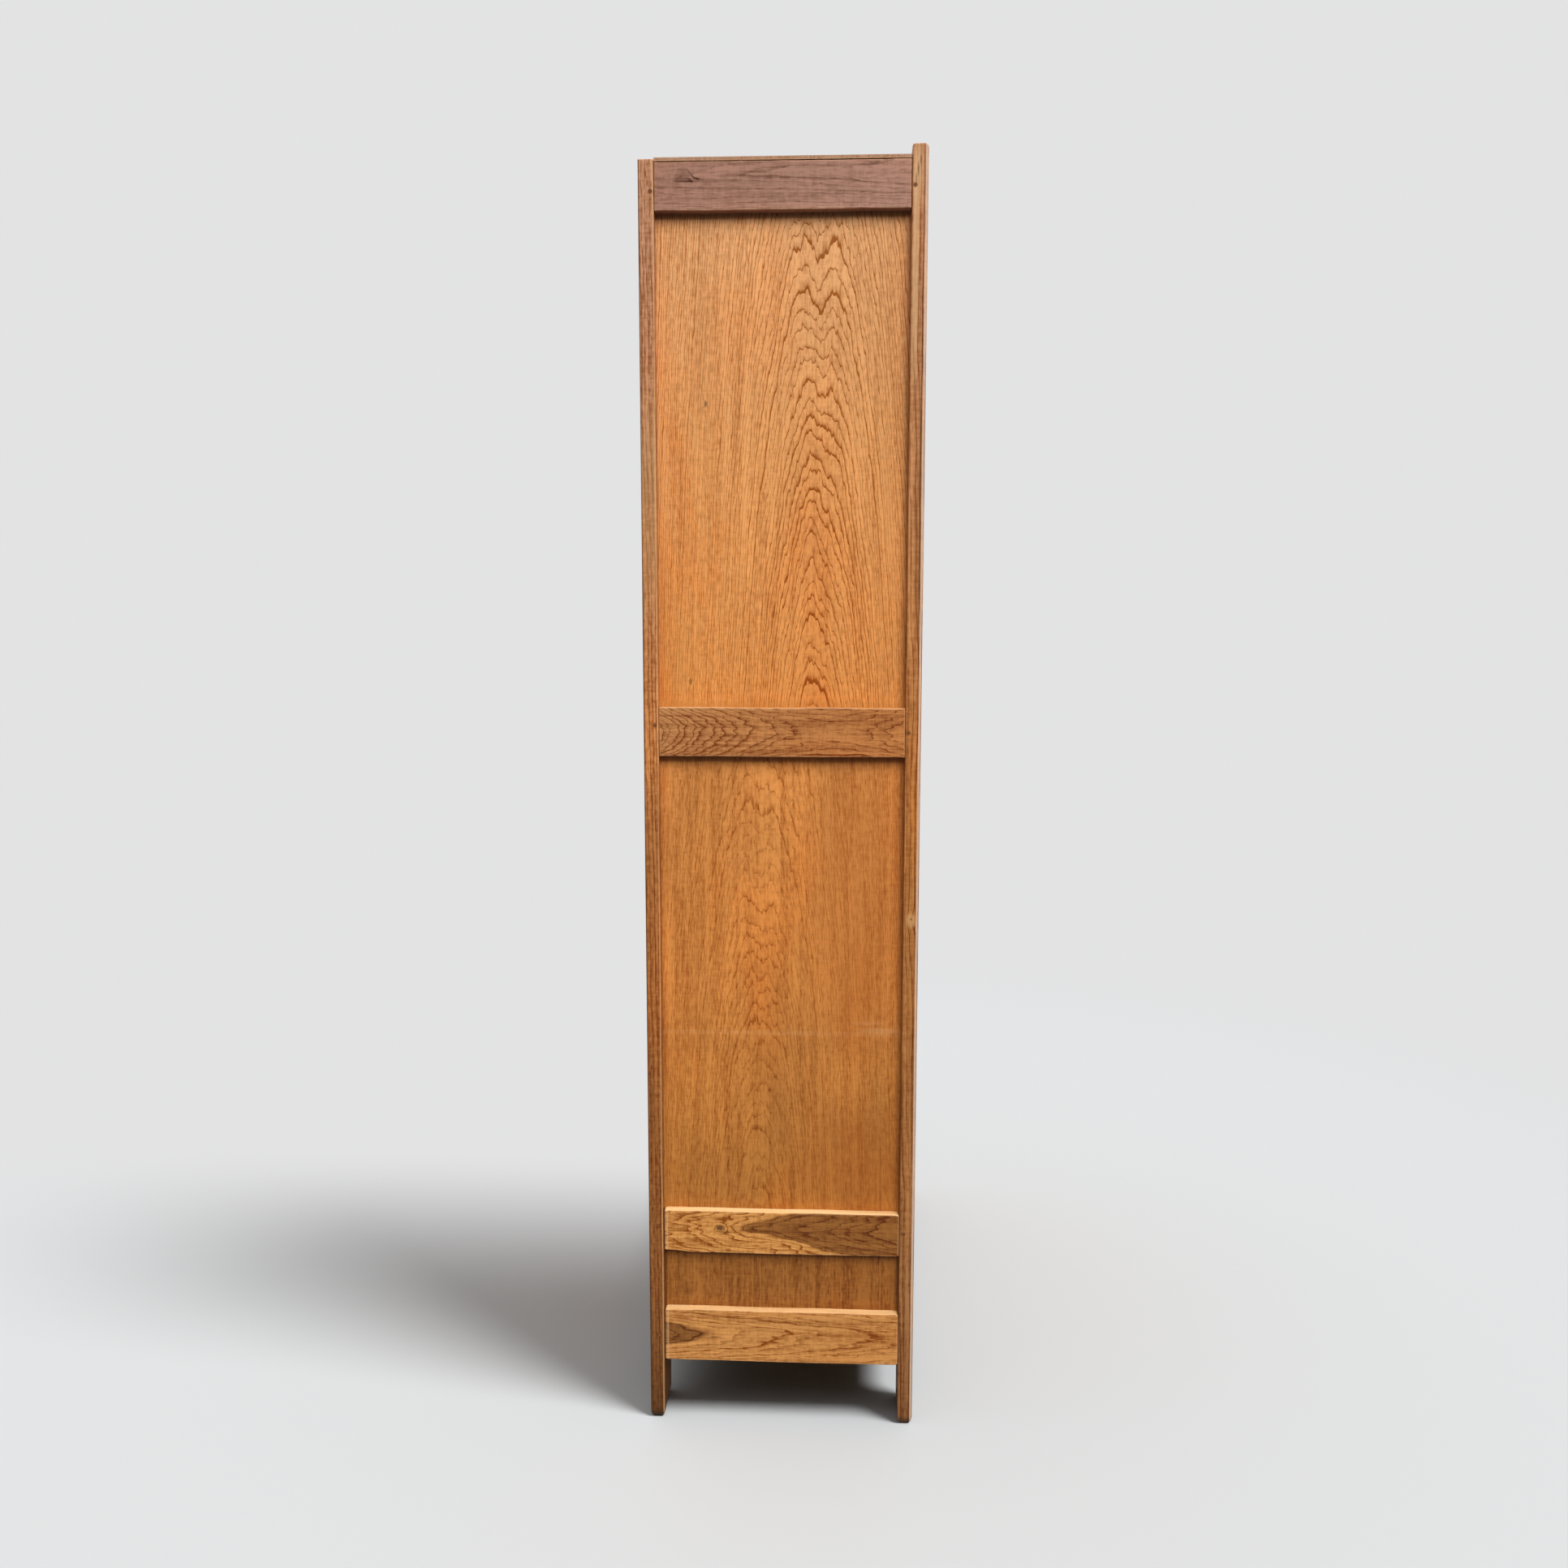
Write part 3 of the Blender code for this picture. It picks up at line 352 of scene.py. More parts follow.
    # distance from the nearest edge: the middle one of the distances from the three pairs of faces
    inward = addNode(tree, "ShaderNodeVectorMath", {0: given["place"]}, operation="ABSOLUTE")
    inward = addNode(tree, "ShaderNodeVectorMath", {0: given["half"], 1: inward}, operation="SUBTRACT")
    inward = addNode(tree, "ShaderNodeSeparateXYZ", {0: inward}).outputs
    least = addNode(tree, "ShaderNodeMath", {0: inward["X"], 1: inward["Y"]}, operation="MINIMUM")
    most = addNode(tree, "ShaderNodeMath", {0: inward["X"], 1: inward["Y"]}, operation="MAXIMUM")
    most = addNode(tree, "ShaderNodeMath", {0: most, 1: inward["Z"]}, operation="MINIMUM")
    edge = addNode(tree, "ShaderNodeMath", {0: least, 1: most}, operation="MAXIMUM")
    ragged = addNode(tree, "ShaderNodeMath", {0: field["streak"], 1: 0.5}, operation="SUBTRACT")
    # grime is painted shade with some dirt: a darker band along the edges, set on the panels where they sit sunk in
    # the frame; wear is a paler band
    for name in ("grimeAndShade", "wear"):
        width = given[name + "Width"]
        loose = addNode(tree, "ShaderNodeMath", {0: ragged, 1: width, 2: edge}, **timesPlus)
        band = addNode(tree, "ShaderNodeMapRange", {"Value": loose, "From Max": width, "To Min": given[name],
                       "To Max": 0.0}, **soft)
        tint = fromHex(finish[name + "Tint"])
        wood = addNode(tree, "ShaderNodeMix", {0: band, 6: wood, 7: tint}, **tinted).outputs[2]

    # faces that look up are painted paler, in patches: painted light from above
    up = addNode(tree, "ShaderNodeNewGeometry").outputs["Normal"]
    up = addNode(tree, "ShaderNodeSeparateXYZ", {0: up}).outputs["Z"]
    least, most = finish["ledgeUp"]
    topLightPaint = addNode(tree, "ShaderNodeMapRange", {"Value": up, "From Min": least, "From Max": most,
                    "To Max": given["ledge"]})
    least, most = finish["ledgePatch"]
    patchy = addNode(tree, "ShaderNodeMapRange", {"Value": field["stripe"], "From Min": least, "From Max": most,
                     "To Min": finish["ledgeLeast"]})
    topLightPaint = addNode(tree, "ShaderNodeMath", {0: topLightPaint, 1: patchy}, operation="MULTIPLY")
    tint = fromHex(finish["ledgeTint"])
    wood = addNode(tree, "ShaderNodeMix", {0: topLightPaint, 6: wood, 7: tint}, **tinted).outputs[2]

    # satin varnish, duller in the pores
    rough, *rougher = finish["rough"]
    for cause, share in zip((field["cloud"], pores), rougher):
        rough = addNode(tree, "ShaderNodeMath", {0: cause, 1: share, 2: rough}, **timesPlus)
    height, *heights = finish["height"]
    for cause, share in zip((line, pores, field["streak"]), heights):
        height = addNode(tree, "ShaderNodeMath", {0: cause, 1: share, 2: height}, **timesPlus)
    addNode(tree, "NodeGroupOutput", {"color": wood, "roughness": rough, "height": height})
    return tree


sawnWood = woodTree(woodFinish)

# How each kind of board lies: its grain, then the direction its face looks in
boardLay = (
    ("stile", "Z", "Y"), ("side_top_rail", "Y", "X"), ("side_middle_rail", "Y", "X"),
    ("side_drawer_rail", "Y", "X"), ("side_bottom_rail", "Y", "X"), ("side_", "Z", "X"), ("panel", "Z", "Y"),
    ("top_sheet", "X", "Z"), ("cabinet_floor", "X", "Z"), ("hat_shelf", "X", "Z"), ("drawer_bottom", "X", "Z"),
    ("door_stop", "X", "Z"), ("cleat", "Y", "X"), ("runner", "Y", "X"), ("drawer_side", "Y", "X"), ("", "X", "Y"),
)
oakBoard = {  # sawn oak, planed and varnished long ago, now satin and rubbed pale on the edges
    "pale": ("#c48856",) * 3, "line": "#a37c30", "sap": "#cf9357",
    "pitch": 0.0034, "wave": 0.012, "jag": 0.0022, "bend": 0.0, "heart": 9.0,  # metres; heart 9 means no sapwood
    "ring": 1.1, "crisp": 1.0, "flow": 1.7, "fleck": 0.3, "strand": 0.75, "pore": 0.45, "cloud": 0.25, "blush": 0.35,
    "wear": 0.32, "wearWidth": 0.0036, "grimeAndShade": 0.0, "grimeAndShadeWidth": 0.010, "ledge": 0.0, "marks": (),
}
panelBoard = {  # crown-cut oak face of the panels, smoother and more golden than the frame
    **oakBoard, "pale": ("#d89051", "#dc985c", "#e0a068"), "line": "#ad8428", "jag": 0.0045, "ring": 1.4,
    # grime on a panel is painted shade along its edges, where it sits sunk in the frame
    "crisp": 1.8, "flow": 1.4, "strand": 0.1, "pore": 0.35, "wear": 0.0, "grimeAndShade": 0.35,
}
pineBoard = {  # planed pine left bare inside
    **oakBoard, "pale": ("#d3ae78",) * 3, "line": "#d8b880", "pitch": 0.0042, "jag": 0.0003,
    "ring": 0.8, "flow": 0.9, "pore": 0.0, "cloud": 0.15, "blush": 0.1, "wear": 0.15, "wave": 0.008,
}
# A mark has a place and a size across, through and along its board (size 0 runs on), the rise of the rings
# round it, how dark it is (below 0 it is paler) and, where it isn't the usual one, its tint.
boardLooks = {
    "side_upper_panel_left": {
        # paler towards the top: partly the wood's tone, partly painted light falling from above
        "pale": ("#f6a255", "#f6ac67", "#f9b77b"), "line": "#a87e1c", "pith": 0.0505, "depth": 0.094,
        "slope": 0.105, "pitch": 0.003, "wave": 0.01, "jag": 0.0036, "seed": 3.1, "ring": 2.1, "crisp": 1.6,
        "flow": 1.5, "cloud": 0.4, "blush": 0.5, "grimeAndShade": 0.17,
        "marks": (
            ((0.0505, 0, 0.235), (0.013, 0, 0.14), 0.0046, 0),  # crown stretched upwards
            ((-0.1115, 0, 0.0875), (0.003, 0, 0.005), 0.003, 0.6),  # pin knots
            ((-0.1365, 0, -0.315), (0.003, 0, 0.005), 0.003, 0.6),
            ((0, 0, 0.353), (0, 0, 0.007), 0, 0.6, "#3a1606"),  # painted shade under the top rail
            ((0.041, 0, -0.18), (0.012, 0, 0.2), -0.0034, 0),  # crown drawn downwards
            ((-0.18, 0, -0.28), (0.06, 0, 0.13), 0, 0.25, "#b07c3c"),  # dull corner
            ((0, 0, -0.354), (0, 0, 0.014), 0, 0.3, "#b4823f"),  # dull along the bottom
            ((0.17, 0, 0), (0.04, 0, 0), 0, 0.14, "#a06a38"),  # painted shade beside the front post
        ),
    },
    "side_lower_panel_left": {
        # darker towards the bottom: partly the wood's tone, partly painted light falling off downwards
        "pale": ("#c17f3a", "#e49449", "#ea9b51"), "line": "#a87c1e", "pith": -0.0345, "depth": 0.092,
        "slope": 0.1, "pitch": 0.003, "wave": 0.01, "jag": 0.0042, "seed": 7.7, "ring": 0.8, "crisp": 1.5,
        "flow": 1.8, "fleck": 0.25, "strand": 0.3, "pore": 0.45, "cloud": 0.8, "blush": 0.5, "grimeAndShade": 0.14,
        "marks": (
            ((-0.0345, 0, 0.2), (0.013, 0, 0.14), 0.0046, 0),  # crown stretched upwards
            ((0, 0, 0.357), (0, 0, 0.011), 0, 0.45, "#4a1e08"),  # painted shade under the middle rail
            ((0.15, 0, -0.066), (0.036, 0, 0.005), 0, -0.22),  # rubbed pale
            ((0.13, 0, -0.055), (0.03, 0, 0.003), 0, -0.16),
            ((0, 0, -0.072), (0, 0, 0.004), 0, -0.1),  # pale line right across
            ((0, 0, -0.092), (0, 0, 0.014), 0, 0.06),  # darker line under it
            ((0.12, 0, 0.14), (0.1, 0, 0.26), 0, 0.38, "#a65a22"),  # redder and darker towards the front: the wood's tone, with painted shade beside the front post
            ((0.11, 0, -0.27), (0.1, 0, 0.1), 0, 0.36, "#96521f"),
        ),
    },
    "side_foot_panel_left": {
        "pale": ("#a86b30",) * 3, "line": "#a07a28", "pith": 0.25, "depth": 0.1,
        "slope": 0.03, "seed": 12.4, "flow": 2.3, "fleck": 0.3, "strand": 0.35, "ring": 0.5, "grimeAndShade": 0.2,
        "marks": (
            ((-0.183, 0, 0), (0.003, 0, 0), 0, 0.6, "#3a1203"),  # dark joint at the back post, with painted shade in it
        ),
    },
    "side_top_rail_left": {
        "pale": ("#c1907a", "#bd8c75", "#b98872"), "line": "#a08c7c", "pith": 0.02, "depth": 0.05,
        "slope": 0.02, "pitch": 0.0032, "seed": 1.3, "ring": 0.7, "flow": 1.9, "strand": 0.4, "pore": 0.5,
        "cloud": 0.6, "blush": 0.25,
        "marks": (
            ((0.0062, 0, 0.137), (0.0013, 0, 0.018), 0, 0.5),  # cracks by the scar
            ((0.015, 0, 0.137), (0.0012, 0, 0.011), 0, 0.35),
            ((0.0225, 0, 0.143), (0.0011, 0, 0.008), 0, 0.3),
        ),
    },
    "side_middle_rail_left": {
        "pale": ("#cd8548", "#ce8a4f", "#cd8e57"), "line": "#9c7230", "pith": 0.0, "depth": 0.0765,
        "slope": -0.062, "bend": -0.42, "pitch": 0.0023, "wave": 0.004, "jag": 0.0032, "seed": 21.9,
        "ring": 1.7, "crisp": 1.2, "flow": 2.3, "strand": 0.5, "ledge": 0.35, "wear": 0.5,
    },
    "side_drawer_rail_left": {
        "pale": ("#a26a33",) * 3, "line": "#9c7430", "sap": "#e3a158", "pith": 0.007,
        "depth": 0.0668, "slope": 0.08, "heart": 0.08, "pitch": 0.0028, "wave": 0.009, "jag": 0.0045,
        "seed": 5.2, "ring": 1.5, "flow": 2.4, "strand": 0.5, "ledge": 1.0, "wear": 0.5,
        "marks": (
            ((0.007, 0, 0.0945), (0.005, 0, 0.008), 0.006, 0.7),  # knot
            ((0, 0, 0.088), (0.002, 0, 0.014), 0, 0.35),  # its dark tail
            ((0.007, 0, 0.042), (0.006, 0, 0.026), -0.0034, 0),  # tongue of heartwood
            ((-0.02, 0, 0), (0.01, 0, 0.04), 0.005, 0),  # sapwood along the bottom
            ((0, 0, 0.1822), (0, 0, 0.0019), 0, 0.85, "#341004"),  # dark joint at the back post, with painted shade in it
            ((0, 0, 0.1772), (0, 0, 0.0018), 0, -0.3, "#f2c796"),  # pale arris: painted highlight on the rounded end, with some wear
        ),
    },
    "side_bottom_rail_left": {
        "pale": ("#94602e",) * 3, "line": "#9c7430", "sap": "#db9a56", "pith": 0.0,
        "depth": 0.0452, "slope": -0.05, "heart": 0.05, "pitch": 0.003, "wave": 0.012, "jag": 0.0045,
        "seed": 9.4, "ring": 1.1, "flow": 2.0, "strand": 0.5, "ledge": 0.68, "wear": 0.5,
        "marks": (
            ((0, 0, 0.1822), (0, 0, 0.0019), 0, 0.75, "#341004"),  # dark joint at the back post, with painted shade in it
            ((0, 0, 0.1772), (0, 0, 0.0018), 0, -0.3, "#f2c796"),  # pale arris: painted highlight on the rounded end, with some wear
        ),
    },
    "back_stile_left": {
        # the colour darkens towards the foot: painted shade low on the post
        "pale": ("#69431f", "#dc904f", "#d49c79"), "pith": -0.04, "depth": 0.034, "slope": 0.012,
        "pitch": 0.006, "seed": 15.1, "ring": 1.2, "flow": 2.6, "strand": 0.3, "cloud": 1.0, "wear": 0.0,
        "marks": (
            ((0, 0, -0.949), (0, 0, 0.012), 0, 0.75),  # dark foot
            ((-0.04, 0.0112, 0), (0.006, 0.0028, 0), 0, 0.5),  # painted shade along the back corner
            ((-0.04, -0.0098, 0), (0.006, 0.0011, 0), 0, -0.4),  # painted highlight along the edge beside the panels
            ((-0.04, -0.002, 0.46), (0.02, 0.02, 0.18), 0, -0.22),  # paler stretch
            ((-0.04, 0, -0.02), (0.02, 0.02, 0.1), 0, 0.26),  # darker stretches
            ((-0.04, 0, -0.19), (0.02, 0.02, 0.08), 0, 0.14),
            ((-0.04, 0.006, -0.44), (0.02, 0.007, 0.1), 0, 0.2),
        ),
    },
    "front_stile_left": {
        # the colour darkens towards the foot: painted shade low on the post
        "pale": ("#926742", "#d28c49", "#d3996e"), "pith": -0.04, "depth": 0.03, "slope": 0.014,
        "pitch": 0.0064, "wave": 0.018, "seed": 17.6, "ring": 1.3, "flow": 2.3, "strand": 0.5, "cloud": 0.8,
        "wear": 0.1,
        "marks": (
            ((0, 0, -0.957), (0, 0, 0.012), 0, 0.65),  # dark foot
            ((-0.04, 0, -0.152), (0.03, 0.008, 0.012), 0.004, -0.4),  # pale knot
            ((-0.04, 0, -0.15), (0.03, 0.0016, 0.002), 0, 0.6),  # its dark heart
            ((-0.04, 0.0055, 0.8), (0.05, 0.0045, 0.18), 0, -0.5, "#f4c892"),  # sapwood at the top
            ((-0.04, 0.003, 0.92), (0.05, 0.008, 0.05), 0, -0.3, "#f4c892"),
            ((-0.04, -0.003, 0.46), (0.05, 0.007, 0.22), 0, 0.22, "#8a6540"),  # greyer stretch
            ((-0.04, -0.0005, 0.936), (0.05, 0.0013, 0.009), 0, 0.6),  # dark veins in the sapwood
            ((-0.04, 0.003, 0.923), (0.05, 0.0013, 0.01), 0, 0.6),
            ((-0.04, 0.006, 0.908), (0.05, 0.0013, 0.011), 0, 0.5),
            ((-0.04, -0.0054, 0.55), (0.05, 0.0013, 0.42), 0, 0.4),  # long dark vein
            ((-0.04, -0.0088, 0), (0.05, 0.0017, 0), 0, 0.5, "#ecd6c0"),  # painted highlight on the rounded front edge
        ),
    },
    "top_sheet": {"pale": ("#b58c76",) * 3, "wear": 0.5, "grimeAndShade": 0.0},
}
pineNames = ("drawer_side", "drawer_back", "drawer_bottom", "runner", "cleat", "door_stop")
axes = {"X": Vector((1, 0, 0)), "Y": Vector((0, 1, 0)), "Z": Vector((0, 0, 1))}
chanceCut = {  # where in the log a board was sawn, unless its look says so
    "panelPith": 0.5, "framePith": 2.5,  # half widths: panels through the heart, frame boards off to its side
    "depth": (0.05, 0.11), "slope": (0.025, 0.06), "seed": (0, 60),
}


def visibleBox(name):  # a board's box without its tenons and the edges that sit in grooves
    low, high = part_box(name)
    between = []
    end = name.rsplit("_", 1)[-1]
    if name.startswith("side_"):
        between.append((1, f"front_stile_{end}", f"back_stile_{end}"))
        stack = ["bottom_rail", "foot_panel", "drawer_rail", "lower_panel", "middle_rail", "upper_panel", "top_rail"]
        place = stack.index(name[5:].rsplit("_", 1)[0])
        if place % 2:
            between.append((2, f"side_{stack[place - 1]}_{end}", f"side_{stack[place + 1]}_{end}"))
    if name.startswith("back_") and "stile" not in name:
        between.append((0, "back_stile_left", "back_stile_right"))
    if name.startswith("door_") and ("panel" in name or "rail" in name):
        door = name[:name.index("_", 5)]
        stiles = [f"{door}_hinge_stile", f"{door}_meeting_stile"]
        between.append((0, *(stiles if "left" in door else stiles[::-1])))
    for axis, below, above in between:
        low[axis] = max(low[axis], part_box(below)[1][axis])
        high[axis] = min(high[axis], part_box(above)[0][axis])
    return low, high


def makeWood(name, species, look):
    grain, face = next((axes[g], axes[f]) for key, g, f in boardLay if key in name)
    turn = Matrix((face.cross(grain), face, grain))  # rows: across, through, along
    low, high = visibleBox(name)
    half = turn @ ((high - low) / 2)
    half = Vector(abs(v) for v in half)
    chance = random.Random(name)
    off = chanceCut["panelPith" if "panel" in name else "framePith"]
    look = {"pith": chance.uniform(-off, off) * half.x, "depth": chance.uniform(*chanceCut["depth"]),
            "slope": chance.uniform(*chanceCut["slope"]) * chance.choice((-1, 1)),
            "seed": chance.uniform(*chanceCut["seed"]), **look}
    material, tree = emptyMaterial(f"{species}_{name}")
    spot = addNode(tree, "ShaderNodeTexCoord").outputs["Object"]
    place = addNode(tree, "ShaderNodeMapping", {"Vector": spot, "Location": -(turn @ ((low + high) / 2)),
                    "Rotation": turn.to_euler()})
    look["lift"], spots = 0.0, []
    for at, size, rise, dark, *tint in look["marks"]:
        shrink = [1 / s if s else 0 for s in size]
        near = addNode(tree, "ShaderNodeMapping", {"Vector": place, "Scale": shrink,
                       "Location": [-a * s for a, s in zip(at, shrink)]})
        near = addNode(tree, "ShaderNodeVectorMath", {0: near}, operation="LENGTH").outputs["Value"]
        if rise:
            swell = addNode(tree, "ShaderNodeMapRange", {"Value": near, "From Max": woodFinish["knotReach"],
                            "To Min": rise, "To Max": 0.0}, **soft)
            look["lift"] = addNode(tree, "ShaderNodeMath", {0: swell, 1: look["lift"]}, operation="ADD")
        if dark:
            full, none = woodFinish["markEdge"]
            mark = addNode(tree, "ShaderNodeMapRange", {"Value": near, "From Min": full, "From Max": none,
                           "To Min": abs(dark), "To Max": 0.0}, **soft)
            spots.append((mark, *(tint or [woodFinish["darkMarkTint" if dark > 0 else "paleMarkTint"]])))
    colors = (*look["pale"], look["line"], look["sap"])
    wood = addNode(tree, "ShaderNodeGroup", {
        "place": place, "half": half, **{key: fromHex(color) for key, color in zip(boardColors, colors)},
        **{key: look[key] for key in boardValues}}, node_tree=sawnWood)
    color = wood.outputs["color"]
    for mark, tint in spots:
        color = addNode(tree, "ShaderNodeMix", {0: mark, 6: color, 7: fromHex(tint)}, **tinted).outputs[2]
    strength, deep = woodFinish["bump"]
    bump = addNode(tree, "ShaderNodeBump", {"Height": wood.outputs["height"], "Strength": strength,
                   "Distance": deep})
    surface = addNode(tree, "ShaderNodeBsdfPrincipled", {"Base Color": color, "Normal": bump,
                      "Roughness": wood.outputs["roughness"], "Specular IOR Level": woodFinish["shine"]})
    addNode(tree, "ShaderNodeOutputMaterial", {"Surface": surface})
    return material


woods = {}
for name in nodes:
    if "pivot" in name or name in ("door_turn", "door_button", "hanging_rail"):
        continue
    if any(word in name for word in pineNames):
        woods[name] = makeWood(name, "pine", pineBoard)
    else:
        family = panelBoard if "panel" in name or name in ("top_sheet", "hat_shelf") else oakBoard
        woods[name] = makeWood(name, "varnishedOak", {**family, **boardLooks.get(name, {})})
    nodes[name].material_slots[0].material = woods[name]
print("wood on", len(woods), "boards")


# Metal
metals = {  # rough: bare and under the dull film; size of the film's patches in metres
    "agedBrass": {"bright": "#c9a156", "dull": "#8a6a35", "rough": (0.24, 0.46), "size": 0.004},
    "drawnSteel": {"bright": "#b9bbbc", "dull": "#8b8987", "rough": (0.22, 0.40), "size": 0.003},
}
handling = {
    "film": (0.38, 0.66), "filmRough": (0.3, 0.7),  # levels between which the film sets in
    "scratch": (0.0004545, 0.003846, 0.0004545),  # metres, wider than real ones so that they show
    "bump": (0.12, 0.0002),  # strength, and depth in metres
}


def makeMetal(name, look):  # handled: bright high spots, dull film between them
    material, tree = emptyMaterial(name)
    spot = addNode(tree, "ShaderNodeTexCoord").outputs["Object"]
    film = addNode(tree, "ShaderNodeTexNoise", {"Vector": spot, "Scale": 1 / look["size"], "Detail": 4.0})
    hair = addNode(tree, "ShaderNodeMapping", {"Vector": spot, "Scale": [1 / s for s in handling["scratch"]]})
    hair = addNode(tree, "ShaderNodeTexNoise", {"Vector": hair, "Scale": 1.0, "Detail": 1.0})
    least, most = handling["film"]
    dull = addNode(tree, "ShaderNodeMapRange", {"Value": film, "From Min": least, "From Max": most})
    color = addNode(tree, "ShaderNodeMix", {0: dull, 6: fromHex(look["bright"]), 7: fromHex(look["dull"])},
                    **tinted).outputs[2]
    least, most = handling["filmRough"]
    rough = addNode(tree, "ShaderNodeMapRange", {"Value": film, "From Min": least, "From Max": most,
                    "To Min": look["rough"][0], "To Max": look["rough"][1]})
    strength, deep = handling["bump"]
    bump = addNode(tree, "ShaderNodeBump", {"Height": hair, "Strength": strength, "Distance": deep})
    surface = addNode(tree, "ShaderNodeBsdfPrincipled", {"Base Color": color, "Roughness": rough, "Normal": bump,
                      "Metallic": 1.0})
    addNode(tree, "ShaderNodeOutputMaterial", {"Surface": surface})
    return material


brass = makeMetal("agedBrass", metals["agedBrass"])
steel = makeMetal("drawnSteel", metals["drawnSteel"])
for name in nodes:
    if "pivot" in name or name == "hanging_rail":
        nodes[name].material_slots[0].material = steel
    if name in ("door_turn", "door_button"):
        nodes[name].material_slots[0].material = brass
print("metal done")


# Rounded and worn pieces: copies of the solids with even facets, rubbed edges, peg holes and a scar
roundedPieces = {  # node: degrees up to which a corner counts as round
    **{f"{post}_stile_{end}": 50 for post in ("front", "back") for end in ("left", "right")},
    "crest_rail": 50, "hanging_rail": 40, "door_turn": 34, "door_button": 34,
    **{name: 50 for name in nodes if name.startswith("side_") and "rail" in name},
}
sameSpot = 0.00001  # metres within which points count as one
flatWithin = 0.5  # degrees within which faces count as one
railWear = {
    "deep": 0.0011, "long": 0.085, "fine": 0.018, "step": 0.012, "reach": 0.004,  # metres
    "level": 0.45, "slow": 0.8, "quick": 0.3,  # how the wear comes and goes along the edge
    "apart": 7.3, "edges": (5.0, 1.0),  # each rail and edge has its own wear
    "corner": 0.0026, "cornerLong": 0.007, "cornerCuts": (0.2, 0.45, 0.75),  # rounded on the two lowest rails
    "endSlack": 0.0001,
}
footWear = {"high": 0.013, "deep": 0.0032, "cuts": (0.0012, 0.0025, 0.0045, 0.007, 0.010)}  # metres
endPegs = ((0.1990, 1.8557), (0.1992, 1.0968), (0.2010, 0.3168), (-0.1758, 1.0874), (-0.1776, 0.3122),
           (-0.1762, 1.8600), (0.2010, 0.1385), (-0.1776, 0.1390))  # y and z on an end
pegHole = {"width": 0.0062, "deep": 0.0012, "sides": 14, "clear": 0.01}  # clear: how far the cutter stands out
scarCut = {"clear": 0.002, "rim": 0.001}  # the rim lets the upper edge of a flake be cut too
scar = (  # flakes torn off the top rail: outline as y and z, depth at its lower edge
    (((0.1642, 1.8687), (0.1630, 1.8766), (0.1582, 1.8869), (0.1495, 1.8888), (0.1445, 1.8839), (0.1367, 1.8749),
      (0.1284, 1.8727), (0.1317, 1.8679)), 0.0016),
    (((0.1623, 1.8684), (0.1606, 1.8739), (0.1532, 1.8771), (0.1453, 1.8752), (0.1371, 1.8684)), 0.0034),
)


def mergedShell(name):
    shell = bmesh.new()
    points = [shell.verts.new(v.co) for v in nodes[name].data.vertices]
    for face in nodes[name].data.polygons:
        shell.faces.new([points[i] for i in face.vertices])
    bmesh.ops.remove_doubles(shell, verts=shell.verts, dist=sameSpot)
    bmesh.ops.dissolve_limit(shell, angle_limit=math.radians(flatWithin), verts=shell.verts, edges=shell.edges)
    return shell


def cutThrough(shell, place, facing):  # adds the edges in which a plane meets the shell
    bmesh.ops.bisect_plane(shell, geom=shell.verts[:] + shell.edges[:] + shell.faces[:], plane_co=place,
                           plane_no=facing, dist=sameSpot)


def rubFeet(shell, name, look):  # a post's foot is worn round
    low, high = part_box(name)
    for z in look["cuts"]:
        cutThrough(shell, (0, 0, z), (0, 0, 1))
    for v in shell.verts:
        sunk = look["deep"] * max(0.0, 1 - v.co.z / look["high"]) ** 2
        for axis in (0, 1):
            middle, half = (low[axis] + high[axis]) / 2, (high[axis] - low[axis]) / 2
            v.co[axis] += (middle - v.co[axis]) * sunk / half


def rubEdges(shell, name, look):  # the long edges of a side rail run a little uneven, always inwards
    low, high = visibleBox(name)
    middle = (low.z + high.z) / 2
    corner = look["corner"] if "drawer" in name or "bottom" in name else 0.0
    steps = [low.y + i * look["step"] for i in range(1, int((high.y - low.y) / look["step"]))]
    for share in look["cornerCuts"]:
        steps += [low.y + share * look["cornerLong"], high.y - share * look["cornerLong"]]
    for y in steps:
        cutThrough(shell, (0, y, 0), (0, 1, 0))
    for v in shell.verts:
        edge = min(abs(v.co.z - low.z), abs(v.co.z - high.z))
        near = min(v.co.y - low.y, high.y - v.co.y)  # to the end of the rail
        if edge < look["reach"] and near > -look["endSlack"]:
            own, side = look["apart"] * len(name), look["edges"][v.co.z > middle]
            slow = look["slow"] * noise.noise(Vector((own, v.co.y / look["long"], side)))
            quick = look["quick"] * noise.noise(Vector((own, v.co.y / look["fine"], side)))
            sunk = look["deep"] * max(0.0, look["level"] + slow + quick) * min(1.0, near / look["reach"])
            sunk += corner * max(0.0, 1 - near / look["cornerLong"]) ** 2
            v.co.z += sunk if v.co.z < middle else -sunk


def prism(shell, near, far):  # closes two outlines of the same count into a solid
    rings = [[shell.verts.new(point) for point in outline] for outline in (near, far)]
    faces = [shell.faces.new(ring) for ring in rings]
    for i in range(len(near)):
        j = (i + 1) % len(near)
        faces.append(shell.faces.new((rings[0][i], rings[0][j], rings[1][j], rings[1][i])))
    bmesh.ops.recalc_face_normals(shell, faces=faces)


def carve(mesh, cutter):  # takes the cutter's solids out of the mesh
    tool = bpy.data.meshes.new("cutter")
    cutter.to_mesh(tool)
    cutter.free()
    pair = [bpy.data.objects.new("carved", mesh), bpy.data.objects.new("carver", tool)]
    for item in pair:
        scene.collection.objects.link(item)
    cut = pair[0].modifiers.new("carve", "BOOLEAN")
    cut.object, cut.operation, cut.solver = pair[1], "DIFFERENCE", "EXACT"
    carved = bpy.data.meshes.new_from_object(pair[0].evaluated_get(bpy.context.evaluated_depsgraph_get()))
    for item in pair:
        bpy.data.objects.remove(item)
    return carved


